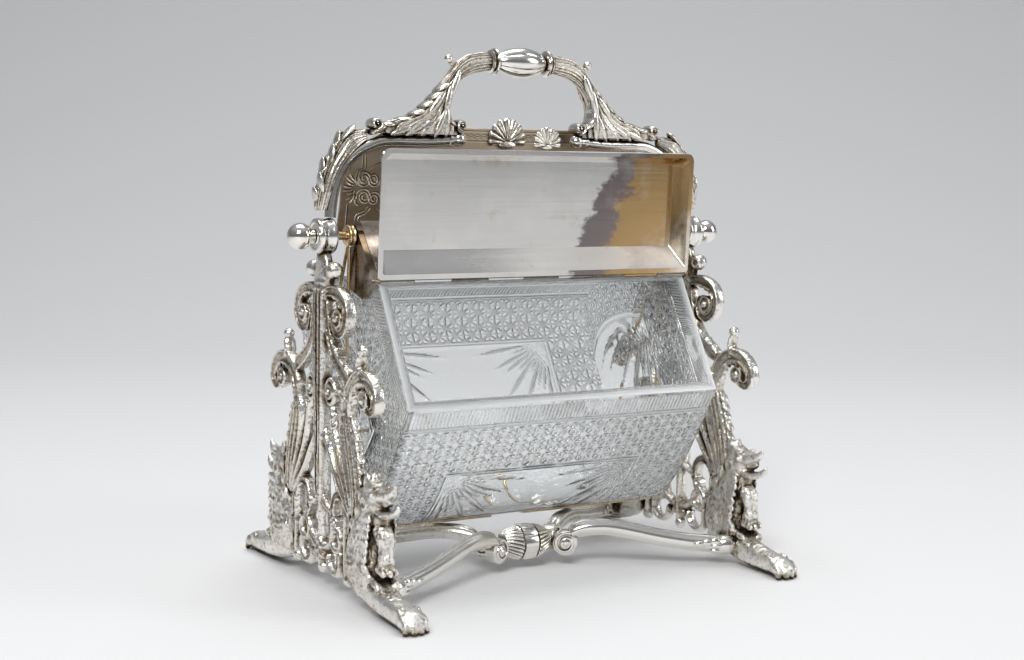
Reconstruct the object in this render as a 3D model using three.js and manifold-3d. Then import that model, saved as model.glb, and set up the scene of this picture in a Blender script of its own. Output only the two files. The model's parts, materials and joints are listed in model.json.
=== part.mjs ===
// Tilting biscuit barrel: a cut-glass box with a hinged lid, hung between two pierced
// cast side frames under an arched carrying handle. Millimetres, +Z up, front towards -Y.
// The origin is the middle of the footprint, on the surface that the four feet stand on.
import * as THREE from 'three';
import { mergeVertices } from 'three/addons/utils/BufferGeometryUtils.js';
import Module from 'manifold-3d';

const wasm = await Module();
wasm.setup();

// Clearances and common sizes
const gap = 0.3; // between pieces that touch
const overrun = 3; // how far a cut runs past the faces that it opens
const pinPlay = 0.25; // between a pin and its hole, on the radius
const rad = Math.PI / 180;
const weld = 1e-4; // corners closer than this are one corner

// The axis that the barrel tilts about runs along X, over the middle of the footprint; what stands
// under it follows its height, and the arch and the handle are set from it
const pivotHeight = 183;
const pinRadius = 2.2;

// Glass box, drawn upright with its mouth up; it hangs with the mouth turned to the front
const hangAngle = 60.5; // degrees from mouth up to the pose that it hangs in
const glassHalfLength = 94.6;
const glassWall = 4.6;
const glassFloor = 5.5;
const lipHalf = 35.5; // half width of the mouth, outside
const bellyHalf = 69.5; // half width at the belly, outside
const bellyDepth = 78.4; // of the widest place, below the lip
const glassDepth = 102.4;
const glassCorner = 24; // radius between belly and floor
const mouthBack = 65.5; // from the tilt axis forward to the middle of the mouth
const mouthUp = 8.1; // of the lip above the tilt axis, box upright
const lipSpreadShares = [0.43, 0.32]; // first control point of the side, of belly swell and depth
const bellyStartShare = 0.73; // second control point, of the belly depth

// Lid: a shallow pressed pan, hinged along the back edge of the mouth
const lidShort = 3; // of the lid's free edge behind the outside of the front lip
const lidOverhang = 2; // past each end of the glass
const lidRim = 1.6; // width of the flat rim
const lidSheet = 1;
const lidDepth = 9.6; // from the rim to the panel
const lidCorner = 5;
const lidBackCornerShare = 1 / 3; // of the front corners' radius
const hingeBevel = 11.4; // width of the slope beside the hinge
const sideBevel = 4.4;
const frontBevel = 3.6;
const lidLean = 3.5; // degrees that the open lid leans to the front
const hingeInset = 1; // of the hinge axis from the outside of the lip
const hingeRise = 2; // of the hinge axis above the lip
const knuckleRadius = 1.6;
const knuckleCount = 9;
const hingePinRadius = 0.6;
const hingeOverhang = 2.8; // past each end of the glass
const panStartShare = 0.4; // of the knuckle's radius, from the hinge axis to the pan

// Rail: a ridged sheet along the back of the mouth, with an end plate over each glass end
const railSheet = 1.2;
const ridgeBack = 6.5; // of the ridge behind the tilt axis, box upright
const ridgeUp = 4;
const railFoot = 26; // depth below the lip at which the rail's back sheet meets the glass
const plateThickness = 3.2;
const plateOverlap = 10; // of the end plate over the glass end
const earRadius = 5.8;

// Pivots, collars and ball knobs
const hubRadius = 5.6;
const hubLength = 4;
const pinHeadRadius = 3.2;
const pinHeadLength = 2.4;
const ballRadius = 6.8;
const ballOut = 7.8; // of each ball knob's centre from the ring
const ballNeckRadius = 3.3;
const socketDepth = 5;

// Cradle: one bent wire at each side, from the collar round under the glass
const wireRadius = 0.9;
const wireBend = 6;
const wireHalfGap = 8; // from the middle to each hairpin's turn
const wireReturn = 8; // of the back run in front of the middle of the floor

// Side frames, pierced castings in upright planes outside the pivot collars
const frameClear = 7.6; // from the collar to the ring
const ringThickness = 10;
const ringProud = 1; // of the ring's inner face before the frame's
const frameThickness = 7;
const frameReach = 70; // of the large scrolls, from the middle plane
const strap = 4; // unit of the scroll widths
const ringRadius = 9.2;
const pillarBack = 0.4; // of the pillar's face behind the ring's
const pillarFlute = 1.6; // radius of the beads up the pillar
const seatBackShare = 0.4857; // of the reach, where the lattice stops and a griffin's haunch begins
const seatHeightShare = 0.246; // of the axis's height, the shoulder that the leg stands on
const seatDepth = 13.2; // of that shoulder

// Griffin feet
const griffinInset = 1; // of its middle plane from the frame's inner face
const toeReachShare = 1.4786; // of the frame's reach, to the toe tips
const headHeightShare = 0.3825; // of the axis's height
const padRadius = 5; // of the boss that takes the stretcher
const padReach = 9.4; // of the boss from the griffin's middle plane
const padBackShare = 0.8286; // of the frame's reach, from the middle plane to the boss
const padHeight = 11.5;

// Stretcher under the barrel: four arms and a ribbed boss, a little in front of the middle
const bossBack = -11;
const bossHalfLength = 13.8;
const bossHalfDepth = 10.2;
const bossHeight = 24.8;
const bossFoot = 4.4;
const bossLobes = 12;
const voluteSide = 21.8; // of each volute's eye from the middle
const voluteSpread = 7.5; // front and back volutes, from the middle of the boss
const voluteRadius = 6.6;
const voluteHeight = 13.4;
const armRise = 26.6; // of the front arms' crowns above the floor
const rearArmRise = 24.8;
const armHalfWidth = 4;

// Arch, its leaves and the back plate
const rodRadius = 3;
const archRise = 48.9; // of the rods' level stretch above the tilt axis
const rodInner = 37; // of the rod's free end from the middle
const rodInset = 1.4; // of the rod's foot from the ring's inner face
const rodLiftShare = 0.5; // of the rod's radius, the rise of its free end
const bendReach = 35.4; // of the bend, from the level stretch out to the foot
const leafSpan = 29;
const leafProud = 5.1; // of the leaf's top above the rod's middle
const leafLift = 3.5; // of the leaf's foot above the rod's foot
const plateBack = 13.2; // of the back plate's front face
const plateSheet = 1.5;
const plateLift = 1; // of its foot above the tilt axis
const plateProud = 8.1; // of its top above the rods' middle
const plateInset = 8.3; // of its foot from the ring's inner face, at each side
const plateTaper = 2.1;
const plateCorner = 40;
const lugRadius = 2;
const lugSideShares = [0.494, 0.745]; // of the way from the middle to the rod's foot

// Handle over the arch
const handleRise = 43.1; // of the grip above the rods
const gripHalfLength = 15;
const gripRadius = 8.2;
const gripEndRadius = 3.6;
const gripLobes = 8;
const collarLength = 4;
const collarRadius = 7.2;
const collarWaist = 5;
const tieRadius = 1.5;
const tieHalfLength = 26;
const armEndHalf = 4.9; // of the handle arm where it meets its collar
const armFootInner = 37;
const armFootOuter = 87;
const scrollRadius = 3.2;
const scrollLift = 6.7; // of each roll's middle above the arm's foot
const scrollHalf = 5.2; // half width of each roll
const toeHalf = 4.8; // half width of the small roll under it

// Shells on the lid's edge and on the back plate
const plateShellRadius = 13.5;
const plateShellLift = 0.5; // of the shell's root above the rods' middle
const lidShellRadius = 9.6;
const shellThickness = 2.2;
const shellRibs = 7;
const shellSpread = 200; // degrees between the outermost edges
const shellShares = {
  notch: 0.1, // of the edge between two ribs
  shorten: 0.15, // of the ribs towards the sides
  rootHalf: 0.45,
  rootBack: 0.28,
  ribLength: 0.84,
  ribStart: 0.05,
  ribFoot: 0.4, // of a rib's own radius at its top
};

// Worked out from the sizes above
const lidLength = 2 * lipHalf - hingeInset - lidShort;
const lidHalfWidth = glassHalfLength + lidOverhang;
const hingeHalfLength = glassHalfLength + hingeOverhang;
const plateOuter = glassHalfLength + gap + plateThickness;
const hubInner = plateOuter + gap;
const hubOuter = hubInner + hubLength;
const ringInner = hubOuter + frameClear;
const ringOuter = ringInner + ringThickness;
const frameInner = ringInner + ringProud;
const frameOuter = frameInner + frameThickness;
const pillarOuter = ringOuter - pillarBack;
const ballCentre = ringOuter + ballOut;
const seatBack = seatBackShare * frameReach;
const seatHeight = seatHeightShare * pivotHeight;
const griffinMiddle = frameInner + griffinInset;
const toeReach = toeReachShare * frameReach;
const headHeight = headHeightShare * pivotHeight;
const padFace = griffinMiddle - padReach;
const padBack = padBackShare * frameReach;
const rodHeight = pivotHeight + archRise;
const rodSide = ringInner + rodInset;
const rodFoot = pivotHeight + ringRadius + gap;
const bendStart = rodSide - bendReach;
const gripHeight = rodHeight + handleRise;
const plateHalfFoot = ringInner - plateInset;
const plateHalfTop = plateHalfFoot - plateTaper;

// Finishes
const silver = { color: 0xcfc9bf, roughness: 0.25, metalness: 1 };
const wornSilver = { color: 0xb5aca0, roughness: 0.35, metalness: 1 };
const gilt = { color: 0xb0894f, roughness: 0.35, metalness: 1 };
const cutGlass = { color: 0xe4eaee, roughness: 0.06, metalness: 0, transparent: true, opacity: 0.4 };

// Solids

// A closed geometry with only its corners left, merged, and its faces pointing out
function closed(geometry) {
  const bare = geometry.index ? geometry.toNonIndexed() : geometry.clone();
  for (const name of Object.keys(bare.attributes)) if (name !== 'position') bare.deleteAttribute(name);
  const merged = mergeVertices(bare, weld);
  const index = [];
  const old = merged.index.array;
  for (let i = 0; i < old.length; i += 3) {
    const [a, b, c] = [old[i], old[i + 1], old[i + 2]];
    if (a !== b && b !== c && c !== a) index.push(a, b, c);
  }
  if (signedVolume(merged.attributes.position, index) < 0) index.reverse();
  merged.setIndex(index);
  return merged;
}

function signedVolume(position, index) {
  const [a, b, c] = [new THREE.Vector3(), new THREE.Vector3(), new THREE.Vector3()];
  let sum = 0;
  for (let i = 0; i < index.length; i += 3) {
    a.fromBufferAttribute(position, index[i]);
    b.fromBufferAttribute(position, index[i + 1]);
    c.fromBufferAttribute(position, index[i + 2]);
    sum += a.dot(b.cross(c));
  }
  return sum / 6;
}

function solid(geometry) {
  const whole = closed(geometry);
  const vertProperties = Float32Array.from(whole.attributes.position.array);
  const triVerts = Uint32Array.from(whole.index.array);
  return new wasm.Manifold(new wasm.Mesh({ numProp: 3, vertProperties, triVerts }));
}

function geometryOf(manifold) {
  const { vertProperties, triVerts } = manifold.getMesh();
  const geometry = new THREE.BufferGeometry();
  geometry.setAttribute('position', new THREE.BufferAttribute(Float32Array.from(vertProperties), 3));
  geometry.setIndex(Array.from(triVerts));
  return geometry;
}

const joined = (geometries) => geometries.map(solid).reduce((whole, next) => whole.add(next));

function fused(pieces, cuts = []) {
  let whole = joined(pieces);
  if (cuts.length > 0) whole = whole.subtract(joined(cuts));
  return geometryOf(whole);
}

function mirrored(geometry, x, y = 1) {
  const copy = geometry.index ? geometry.toNonIndexed() : geometry.clone();
  copy.scale(x, y, 1);
  return closed(copy);
}

// Forms

// A flat shape drawn in Y and Z, standing from X = inner to X = outer
function slab(shape, inner, outer, curveSegments = 6) {
  const settings = { depth: outer - inner, bevelEnabled: false, curveSegments };
  const geometry = new THREE.ExtrudeGeometry(shape, settings);
  const turn = new THREE.Matrix4();
  turn.makeBasis(new THREE.Vector3(0, 1, 0), new THREE.Vector3(0, 0, 1), new THREE.Vector3(1, 0, 0));
  return geometry.applyMatrix4(turn).translate(inner, 0, 0);
}

// A flat shape drawn in X and Z, standing from Y = front to Y = back
function panel(shape, front, back, curveSegments = 6) {
  const settings = { depth: back - front, bevelEnabled: false, curveSegments };
  return new THREE.ExtrudeGeometry(shape, settings).rotateX(Math.PI / 2).translate(0, back, 0);
}

// A solid through rings that all hold the same number of points
function loft(rings) {
  const count = rings[0].length;
  const points = rings.flat();
  const index = [];
  for (let r = 0; r + 1 < rings.length; r += 1) {
    for (let i = 0; i < count; i += 1) {
      const j = (i + 1) % count;
      const [a, b, c, d] = [r * count + i, r * count + j, (r + 1) * count + j, (r + 1) * count + i];
      index.push(a, b, c, a, c, d);
    }
  }
  for (const [ring, flip] of [[0, true], [rings.length - 1, false]]) {
    const centre = new THREE.Vector3();
    for (const point of rings[ring]) centre.addScaledVector(point, 1 / count);
    points.push(centre);
    for (let i = 0; i < count; i += 1) {
      const [a, b] = [ring * count + i, ring * count + ((i + 1) % count)];
      index.push(...(flip ? [points.length - 1, b, a] : [points.length - 1, a, b]));
    }
  }
  const geometry = new THREE.BufferGeometry().setFromPoints(points);
  geometry.setIndex(index);
  return geometry;
}

// A casting between two rails drawn in one plane, rounded to the half thickness at each station
function casting(railA, railB, halves, place, sides = 6) {
  const rings = railA.map(([ua, va], k) => {
    const [ub, vb] = railB[k];
    return Array.from({ length: sides }, (_, i) => {
      const angle = (2 * Math.PI * i) / sides;
      const along = Math.cos(angle) / 2;
      const u = (ua + ub) / 2 + (ub - ua) * along;
      const v = (va + vb) / 2 + (vb - va) * along;
      return place(u, v, halves[k] * Math.sin(angle));
    });
  });
  return loft(rings);
}

// A round wire through a line of points, mitred where it bends
function wire(points, radius, sides) {
  const way = (k) => points[k + 1].clone().sub(points[k]).normalize();
  const last = points.length - 1;
  const tangents = points.map((_, k) => way(Math.max(k - 1, 0)).add(way(Math.min(k, last - 1))).normalize());
  const side = new THREE.Vector3(0, 1, 0).cross(tangents[0]);
  const rings = points.map((point, k) => {
    side.addScaledVector(tangents[k], -side.dot(tangents[k])).normalize();
    const up = tangents[k].clone().cross(side);
    return Array.from({ length: sides }, (_, i) => {
      const angle = (2 * Math.PI * i) / sides;
      const out = point.clone().addScaledVector(side, radius * Math.cos(angle));
      return out.addScaledVector(up, radius * Math.sin(angle));
    });
  });
  return loft(rings);
}

function ball(radius, x, y, z, around = 6, down = 4) {
  return new THREE.SphereGeometry(radius, around, down).rotateX(Math.PI / 2).translate(x, y, z);
}

// A turned solid about the X axis; the profile gives radius and place along X
function turned(profile, segments = 12) {
  const points = profile.map(([radius, x]) => new THREE.Vector2(radius, x));
  return new THREE.LatheGeometry(points, segments).rotateZ(-Math.PI / 2);
}

function drum(radius, from, to, y = 0, z = 0, segments = 12) {
  return turned([[0, from], [radius, from], [radius, to], [0, to]], segments).translate(0, y, z);
}

function block(x0, x1, y0, y1, z0, z1) {
  const box = new THREE.BoxGeometry(x1 - x0, y1 - y0, z1 - z0);
  return box.translate((x0 + x1) / 2, (y0 + y1) / 2, (z0 + z1) / 2);
}

// The outline of a strap of changing width along a smooth line
function strapShape(points, widths, steps) {
  const line = new THREE.SplineCurve(points.map(([u, v]) => new THREE.Vector2(u, v)));
  const left = [];
  const right = [];
  for (let i = 0; i <= steps; i += 1) {
    const share = i / steps;
    const at = line.getPoint(share);
    const way = line.getTangent(share);
    const place = share * (widths.length - 1);
    const low = Math.min(Math.floor(place), widths.length - 2);
    const half = THREE.MathUtils.lerp(widths[low], widths[low + 1], place - low) / 2;
    left.push(new THREE.Vector2(at.x - way.y * half, at.y + way.x * half));
    right.unshift(new THREE.Vector2(at.x + way.y * half, at.y - way.x * half));
  }
  return new THREE.Shape([...left, ...right]);
}

// A folded sheet: the line is its outside, and the sheet lies to the right of the line's way
function foldedShape(points, thickness) {
  const inside = points.map((point, k) => {
    const before = points[Math.max(k - 1, 0)];
    const after = points[Math.min(k + 1, points.length - 1)];
    const wayIn = point.clone().sub(before);
    const wayOut = after.clone().sub(point);
    if (wayIn.length() === 0) wayIn.copy(wayOut);
    if (wayOut.length() === 0) wayOut.copy(wayIn);
    const normalIn = new THREE.Vector2(wayIn.y, -wayIn.x).normalize();
    const normalOut = new THREE.Vector2(wayOut.y, -wayOut.x).normalize();
    const mitre = normalIn.clone().add(normalOut).normalize();
    return point.clone().addScaledVector(mitre, thickness / mitre.dot(normalIn));
  });
  return new THREE.Shape([...points, ...inside.reverse()]);
}

const model = new THREE.Group();
const barrel = new THREE.Group(); // upright box frame, origin on the tilt axis
barrel.position.set(0, 0, pivotHeight);
barrel.rotation.x = hangAngle * rad;
const lid = new THREE.Group(); // closed lid frame, origin on the hinge axis
const hingeBack = -mouthBack + lipHalf - hingeInset;
const hingeUp = mouthUp + hingeRise;
lid.position.set(0, hingeBack, hingeUp);
lid.rotation.x = -(90 + hangAngle - lidLean) * rad;
barrel.add(lid);
model.add(barrel);

function add(group, name, geometry, finish) {
  const whole = closed(geometry);
  whole.computeVertexNormals();
  const mesh = new THREE.Mesh(whole, new THREE.MeshStandardMaterial({ ...finish, flatShading: true }));
  mesh.name = name;
  group.add(mesh);
}

function addPair(group, name, geometry, finish) {
  add(group, `right_${name}`, geometry, finish);
  add(group, `left_${name}`, mirrored(geometry, -1), finish);
}

// Glass box

// Half of the section below the lip, from the mouth out to the belly and in along the floor
function glassHalf(inset, floor) {
  const swell = bellyHalf - lipHalf;
  const start = new THREE.Vector2(lipHalf - inset, 0);
  const first = new THREE.Vector2(start.x + swell * lipSpreadShares[0], -bellyDepth * lipSpreadShares[1]);
  const second = new THREE.Vector2(bellyHalf - inset, -bellyDepth * bellyStartShare);
  const belly = new THREE.Vector2(bellyHalf - inset, -bellyDepth);
  const sideSteps = 9;
  const arcSteps = 6;
  const side = new THREE.CubicBezierCurve(start, first, second, belly).getPoints(sideSteps);
  const corner = [];
  const reach = glassCorner - inset;
  const drop = glassDepth - floor - bellyDepth;
  for (let i = 1; i <= arcSteps; i += 1) {
    const angle = (Math.PI / 2) * (i / arcSteps);
    const u = bellyHalf - glassCorner + reach * Math.cos(angle);
    corner.push(new THREE.Vector2(u, -bellyDepth - drop * Math.sin(angle)));
  }
  return [...side, ...corner];
}

function glassSection(inset, floor, top) {
  const half = glassHalf(inset, floor);
  if (top > 0) half.unshift(new THREE.Vector2(half[0].x, top));
  const other = half.map((point) => new THREE.Vector2(-point.x, point.y)).reverse();
  return new THREE.Shape([...half, ...other]);
}

function glassBox() {
  const outside = slab(glassSection(0, 0, 0), -glassHalfLength, glassHalfLength);
  const inside = slab(
    glassSection(glassWall, glassFloor, overrun),
    -glassHalfLength + glassWall,
    glassHalfLength - glassWall,
  );
  return fused([outside], [inside]).translate(0, -mouthBack, mouthUp);
}
add(barrel, 'glass_barrel', glassBox(), cutGlass);

// Rail over the back of the mouth

// The outside of the back wall at a depth below the lip, as a place in the barrel's frame
function backWall(depth) {
  const half = glassHalf(0, 0);
  const next = half.findIndex((point) => -point.y >= depth);
  const [a, b] = [half[next - 1], half[next]];
  const share = (depth + a.y) / (a.y - b.y);
  const u = THREE.MathUtils.lerp(a.x, b.x, share);
  const way = b.clone().sub(a).normalize();
  return {
    at: new THREE.Vector2(u - mouthBack, mouthUp - depth),
    out: new THREE.Vector2(-way.y, way.x),
    way,
  };
}

const knucklePitch = (2 * hingeHalfLength) / knuckleCount;
function knuckles(first, radius, clear) {
  const drums = [];
  for (let k = first; k < knuckleCount; k += 2) {
    const from = -hingeHalfLength + k * knucklePitch - clear;
    drums.push(drum(radius, from, from + knucklePitch + 2 * clear, 0, 0, 8));
  }
  return drums;
}
const knuckleFace = gap / 2;
function knuckleBore() {
  return drum(hingePinRadius + gap, -hingeHalfLength - overrun, hingeHalfLength + overrun, 0, 0, 6);
}

const railStart = new THREE.Vector2(hingeBack, mouthUp + 2 * gap + railSheet);
const ridge = new THREE.Vector2(ridgeBack, ridgeUp);
const foot = backWall(railFoot);
const fall = foot.at.clone().sub(ridge).normalize();
const sheetIn = new THREE.Vector2(fall.y, -fall.x);
const railEnd = foot.at.clone().addScaledVector(foot.out, 2 * gap - railSheet * sheetIn.dot(foot.out));
const railHalfLength = glassHalfLength;

function railRoof() {
  const sheet = slab(foldedShape([railStart, ridge, railEnd], railSheet), -railHalfLength, railHalfLength);
  const place = (geometry) => geometry.translate(0, hingeBack, hingeUp);
  const fixed = knuckles(0, knuckleRadius, -knuckleFace).map(place);
  const moving = knuckles(1, knuckleRadius + gap, knuckleFace).map(place);
  const ends = [-1, 1].map((side) => {
    const outer = side * (hingeHalfLength + overrun);
    const inner = side * (glassHalfLength + gap);
    return drum(knuckleRadius + gap, Math.min(inner, outer), Math.max(inner, outer), hingeBack, hingeUp, 8);
  });
  const headReach = pinHeadLength + gap;
  const headRooms = [-1, 1].map((side) => {
    const [inner, outer] = [side * (railHalfLength - headReach), side * (railHalfLength + overrun)];
    return drum(pinHeadRadius + gap, Math.min(inner, outer), Math.max(inner, outer));
  });
  return fused([sheet, ...fixed], [...moving, ...ends, ...headRooms, place(knuckleBore())]);
}
add(barrel, 'hinge_rail', railRoof(), silver);

function endPlate() {
  const inner = glassHalfLength + gap;
  const low = backWall(railFoot);
  const high = backWall(plateOverlap);
  const lowerBack = low.at.clone().addScaledVector(low.out, gap + railSheet);
  const lowerFront = low.at.clone().addScaledVector(low.out, -plateOverlap / 2);
  const upperFront = high.at.clone().addScaledVector(high.out, -plateOverlap);
  const outline = new THREE.Shape([railStart, ridge, lowerBack, lowerFront, upperFront]);
  const body = slab(outline, inner, inner + plateThickness);
  const ear = drum(earRadius, inner, inner + plateThickness);
  const [from, to] = [inner - overrun, inner + plateThickness + overrun];
  const hole = drum(pinRadius + pinPlay, from, to);
  const knuckleRoom = drum(knuckleRadius + gap, from, to, hingeBack, hingeUp);
  return fused([body, ear], [hole, knuckleRoom]);
}
addPair(barrel, 'end_plate', endPlate(), silver);

add(
  barrel,
  'hinge_pin',
  drum(hingePinRadius, -hingeHalfLength, hingeHalfLength, hingeBack, hingeUp, 6),
  gilt,
);

// Pivots

const ballFace = ringOuter + gap;
const pinEnd = ballFace + socketDepth - gap;

function pivotPin() {
  const inner = glassHalfLength + gap;
  return turned([
    [0, inner - pinHeadLength],
    [pinHeadRadius, inner - pinHeadLength],
    [pinHeadRadius, inner - gap],
    [pinRadius, inner - gap],
    [pinRadius, pinEnd],
    [0, pinEnd],
  ]);
}
addPair(barrel, 'pivot_pin', pivotPin(), gilt);

function hub() {
  const waist = hubRadius - gap;
  return turned([
    [pinRadius + pinPlay, hubInner],
    [waist, hubInner],
    [hubRadius, hubInner + hubLength / 4],
    [hubRadius, hubOuter - hubLength / 4],
    [waist, hubOuter],
    [pinRadius + pinPlay, hubOuter],
    [pinRadius + pinPlay, hubInner],
  ]);
}
addPair(barrel, 'pivot_collar', hub(), gilt);

function ballKnob() {
  const sphere = ball(ballRadius, ballCentre, 0, 0, 12, 8);
  const neck = drum(ballNeckRadius, ballFace, ballCentre);
  const socket = drum(pinRadius + pinPlay, ballFace - overrun, ballFace + socketDepth);
  return fused([sphere, neck], [socket, drum(ballRadius + overrun, ringInner, ballFace)]);
}
addPair(barrel, 'ball_knob', ballKnob(), silver);

// Cradle wires

// A place on the outside of the box, a little off it, by the way round from the corner to the floor
const wireOff = gap + wireRadius;
const cornerAt = new THREE.Vector2(-mouthBack - bellyHalf + glassCorner, mouthUp - bellyDepth);
const farAngle = Math.atan2(-cornerAt.y, -cornerAt.x); // of the way from the axis through the corner
const cornerLength = (glassCorner + wireOff) * (Math.PI / 2 - farAngle);
function under(along) {
  if (along <= cornerLength) {
    const angle = farAngle + along / (glassCorner + wireOff);
    const reach = glassCorner + wireOff;
    return [cornerAt.x - reach * Math.cos(angle), cornerAt.y - reach * Math.sin(angle)];
  }
  return [cornerAt.x + along - cornerLength, cornerAt.y - glassCorner - wireOff];
}

function cradleWire() {
  const side = (hubInner + hubOuter) / 2;
  const backRun = cornerLength + (bellyHalf - glassCorner) - wireReturn;
  const hubReach = hubRadius + gap;
  const point = (x, [y, z]) => new THREE.Vector3(x, y, z);
  const toward = (end, reach) => {
    const length = Math.hypot(end[0], end[1]);
    return point(side, [(end[0] * reach) / length, (end[1] * reach) / length]);
  };
  const front = under(0);
  const back = under(backRun);
  const frontLength = Math.hypot(...front);
  const backLength = Math.hypot(...back);
  const points = [toward(front, hubReach)];
  const bend = (from, corner, end) => {
    points.push(...new THREE.QuadraticBezierCurve3(from, corner, end).getPoints(4));
  };
  bend(toward(front, frontLength - wireBend), point(side, front), point(side - wireBend, front));
  bend(point(wireHalfGap + wireBend, front), point(wireHalfGap, front), point(wireHalfGap, under(wireBend)));
  const turns = 7;
  const span = backRun - 2 * wireBend;
  for (let i = 1; i < turns; i += 1) points.push(point(wireHalfGap, under(wireBend + (span * i) / turns)));
  bend(
    point(wireHalfGap, under(backRun - wireBend)),
    point(wireHalfGap, back),
    point(wireHalfGap + wireBend, back),
  );
  bend(point(side - wireBend, back), point(side, back), toward(back, backLength - wireBend));
  points.push(toward(back, hubReach + wireRadius));
  return wire(points, wireRadius, 6);
}
addPair(barrel, 'cradle_wire', cradleWire(), gilt);

// Lid, drawn closed: it reaches forward from the hinge axis, with its pan standing up

function lidRing(inset, hingeInsetAt, frontInset, z) {
  const [x, front, back] = [lidHalfWidth - inset, -lidLength + frontInset, -hingeInsetAt];
  const wide = Math.max(lidCorner - inset, lidCorner * lidBackCornerShare);
  const tight = wide * lidBackCornerShare;
  const points = [];
  const corners = [
    [x - wide, front + wide, -90, wide],
    [x - tight, back - tight, 0, tight],
    [-x + tight, back - tight, 90, tight],
    [-x + wide, front + wide, 180, wide],
  ];
  const arcSteps = 3;
  for (const [cx, cy, start, radius] of corners) {
    for (let i = 0; i <= arcSteps; i += 1) {
      const angle = (start + (90 * i) / arcSteps) * rad;
      points.push(new THREE.Vector3(cx + radius * Math.cos(angle), cy + radius * Math.sin(angle), z));
    }
  }
  return points;
}

const rimFace = -knuckleRadius; // the rim's face over the glass, from the hinge axis
const rimTop = rimFace + lidSheet;
const panStart = panStartShare * knuckleRadius;
function lidPan() {
  const deep = (sheet) => lidRing(
    lidRim + sideBevel + sheet,
    panStart + lidRim + hingeBevel + sheet,
    lidRim + frontBevel + sheet,
    lidDepth - sheet,
  );
  const edge = (sheet, z) => lidRing(lidRim + sheet, panStart + lidRim + sheet, lidRim + sheet, z);
  const outside = loft([
    lidRing(0, panStart, 0, rimFace),
    lidRing(0, panStart, 0, rimTop),
    edge(0, rimTop),
    deep(0),
  ]);
  const inside = loft([
    edge(lidSheet, rimFace - overrun),
    edge(lidSheet, rimFace + lidSheet / 2),
    deep(lidSheet),
  ]);
  const moving = knuckles(1, knuckleRadius, -knuckleFace);
  const fixed = knuckles(0, knuckleRadius + gap, knuckleFace);
  return fused([geometryOf(solid(outside).subtract(solid(inside))), ...moving], [...fixed, knuckleBore()]);
}
add(lid, 'lid', lidPan(), silver);

// A scallop shell, root at the origin and opening along +Y, its ribs standing up in Z
function shell(radius) {
  const spread = shellSpread * rad;
  const { notch, shorten, rootHalf, rootBack, ribLength, ribStart, ribFoot } = shellShares;
  const points = [];
  const lobeSteps = 3;
  const steps = shellRibs * lobeSteps;
  for (let i = 0; i <= steps; i += 1) {
    const angle = Math.PI / 2 - spread / 2 + (spread * i) / steps;
    const lobe = Math.abs(Math.sin((Math.PI * i) / lobeSteps));
    const reach = radius * (1 - notch + notch * lobe) * (1 - shorten + shorten * Math.sin(angle));
    points.push(new THREE.Vector2(reach * Math.cos(angle), reach * Math.sin(angle)));
  }
  points.push(new THREE.Vector2(-radius * rootHalf, -radius * rootBack));
  points.push(new THREE.Vector2(radius * rootHalf, -radius * rootBack));
  const settings = { depth: shellThickness / 2, bevelEnabled: false };
  const base = new THREE.ExtrudeGeometry(new THREE.Shape(points), settings);
  const ribs = [];
  for (let k = 0; k < shellRibs; k += 1) {
    const angle = -spread / 2 + (spread * (k + 0.5)) / shellRibs;
    const length = radius * ribLength * (1 - shorten + shorten * Math.cos(angle));
    const ribRadius = shellThickness / 2;
    const rib = new THREE.CylinderGeometry(ribRadius, ribRadius * ribFoot, length, 5);
    ribs.push(rib.translate(0, length / 2 + radius * ribStart, 0).rotateZ(-angle).translate(0, 0, ribRadius));
  }
  return fused([base, ...ribs]);
}

function lidShell() {
  const root = -lidLength - gap - lidShellRadius * shellShares.rootBack;
  return shell(lidShellRadius).rotateZ(Math.PI).translate(0, root, rimTop - shellThickness / 2);
}
add(lid, 'lid_shell', lidShell(), wornSilver);

// Side frames

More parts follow.
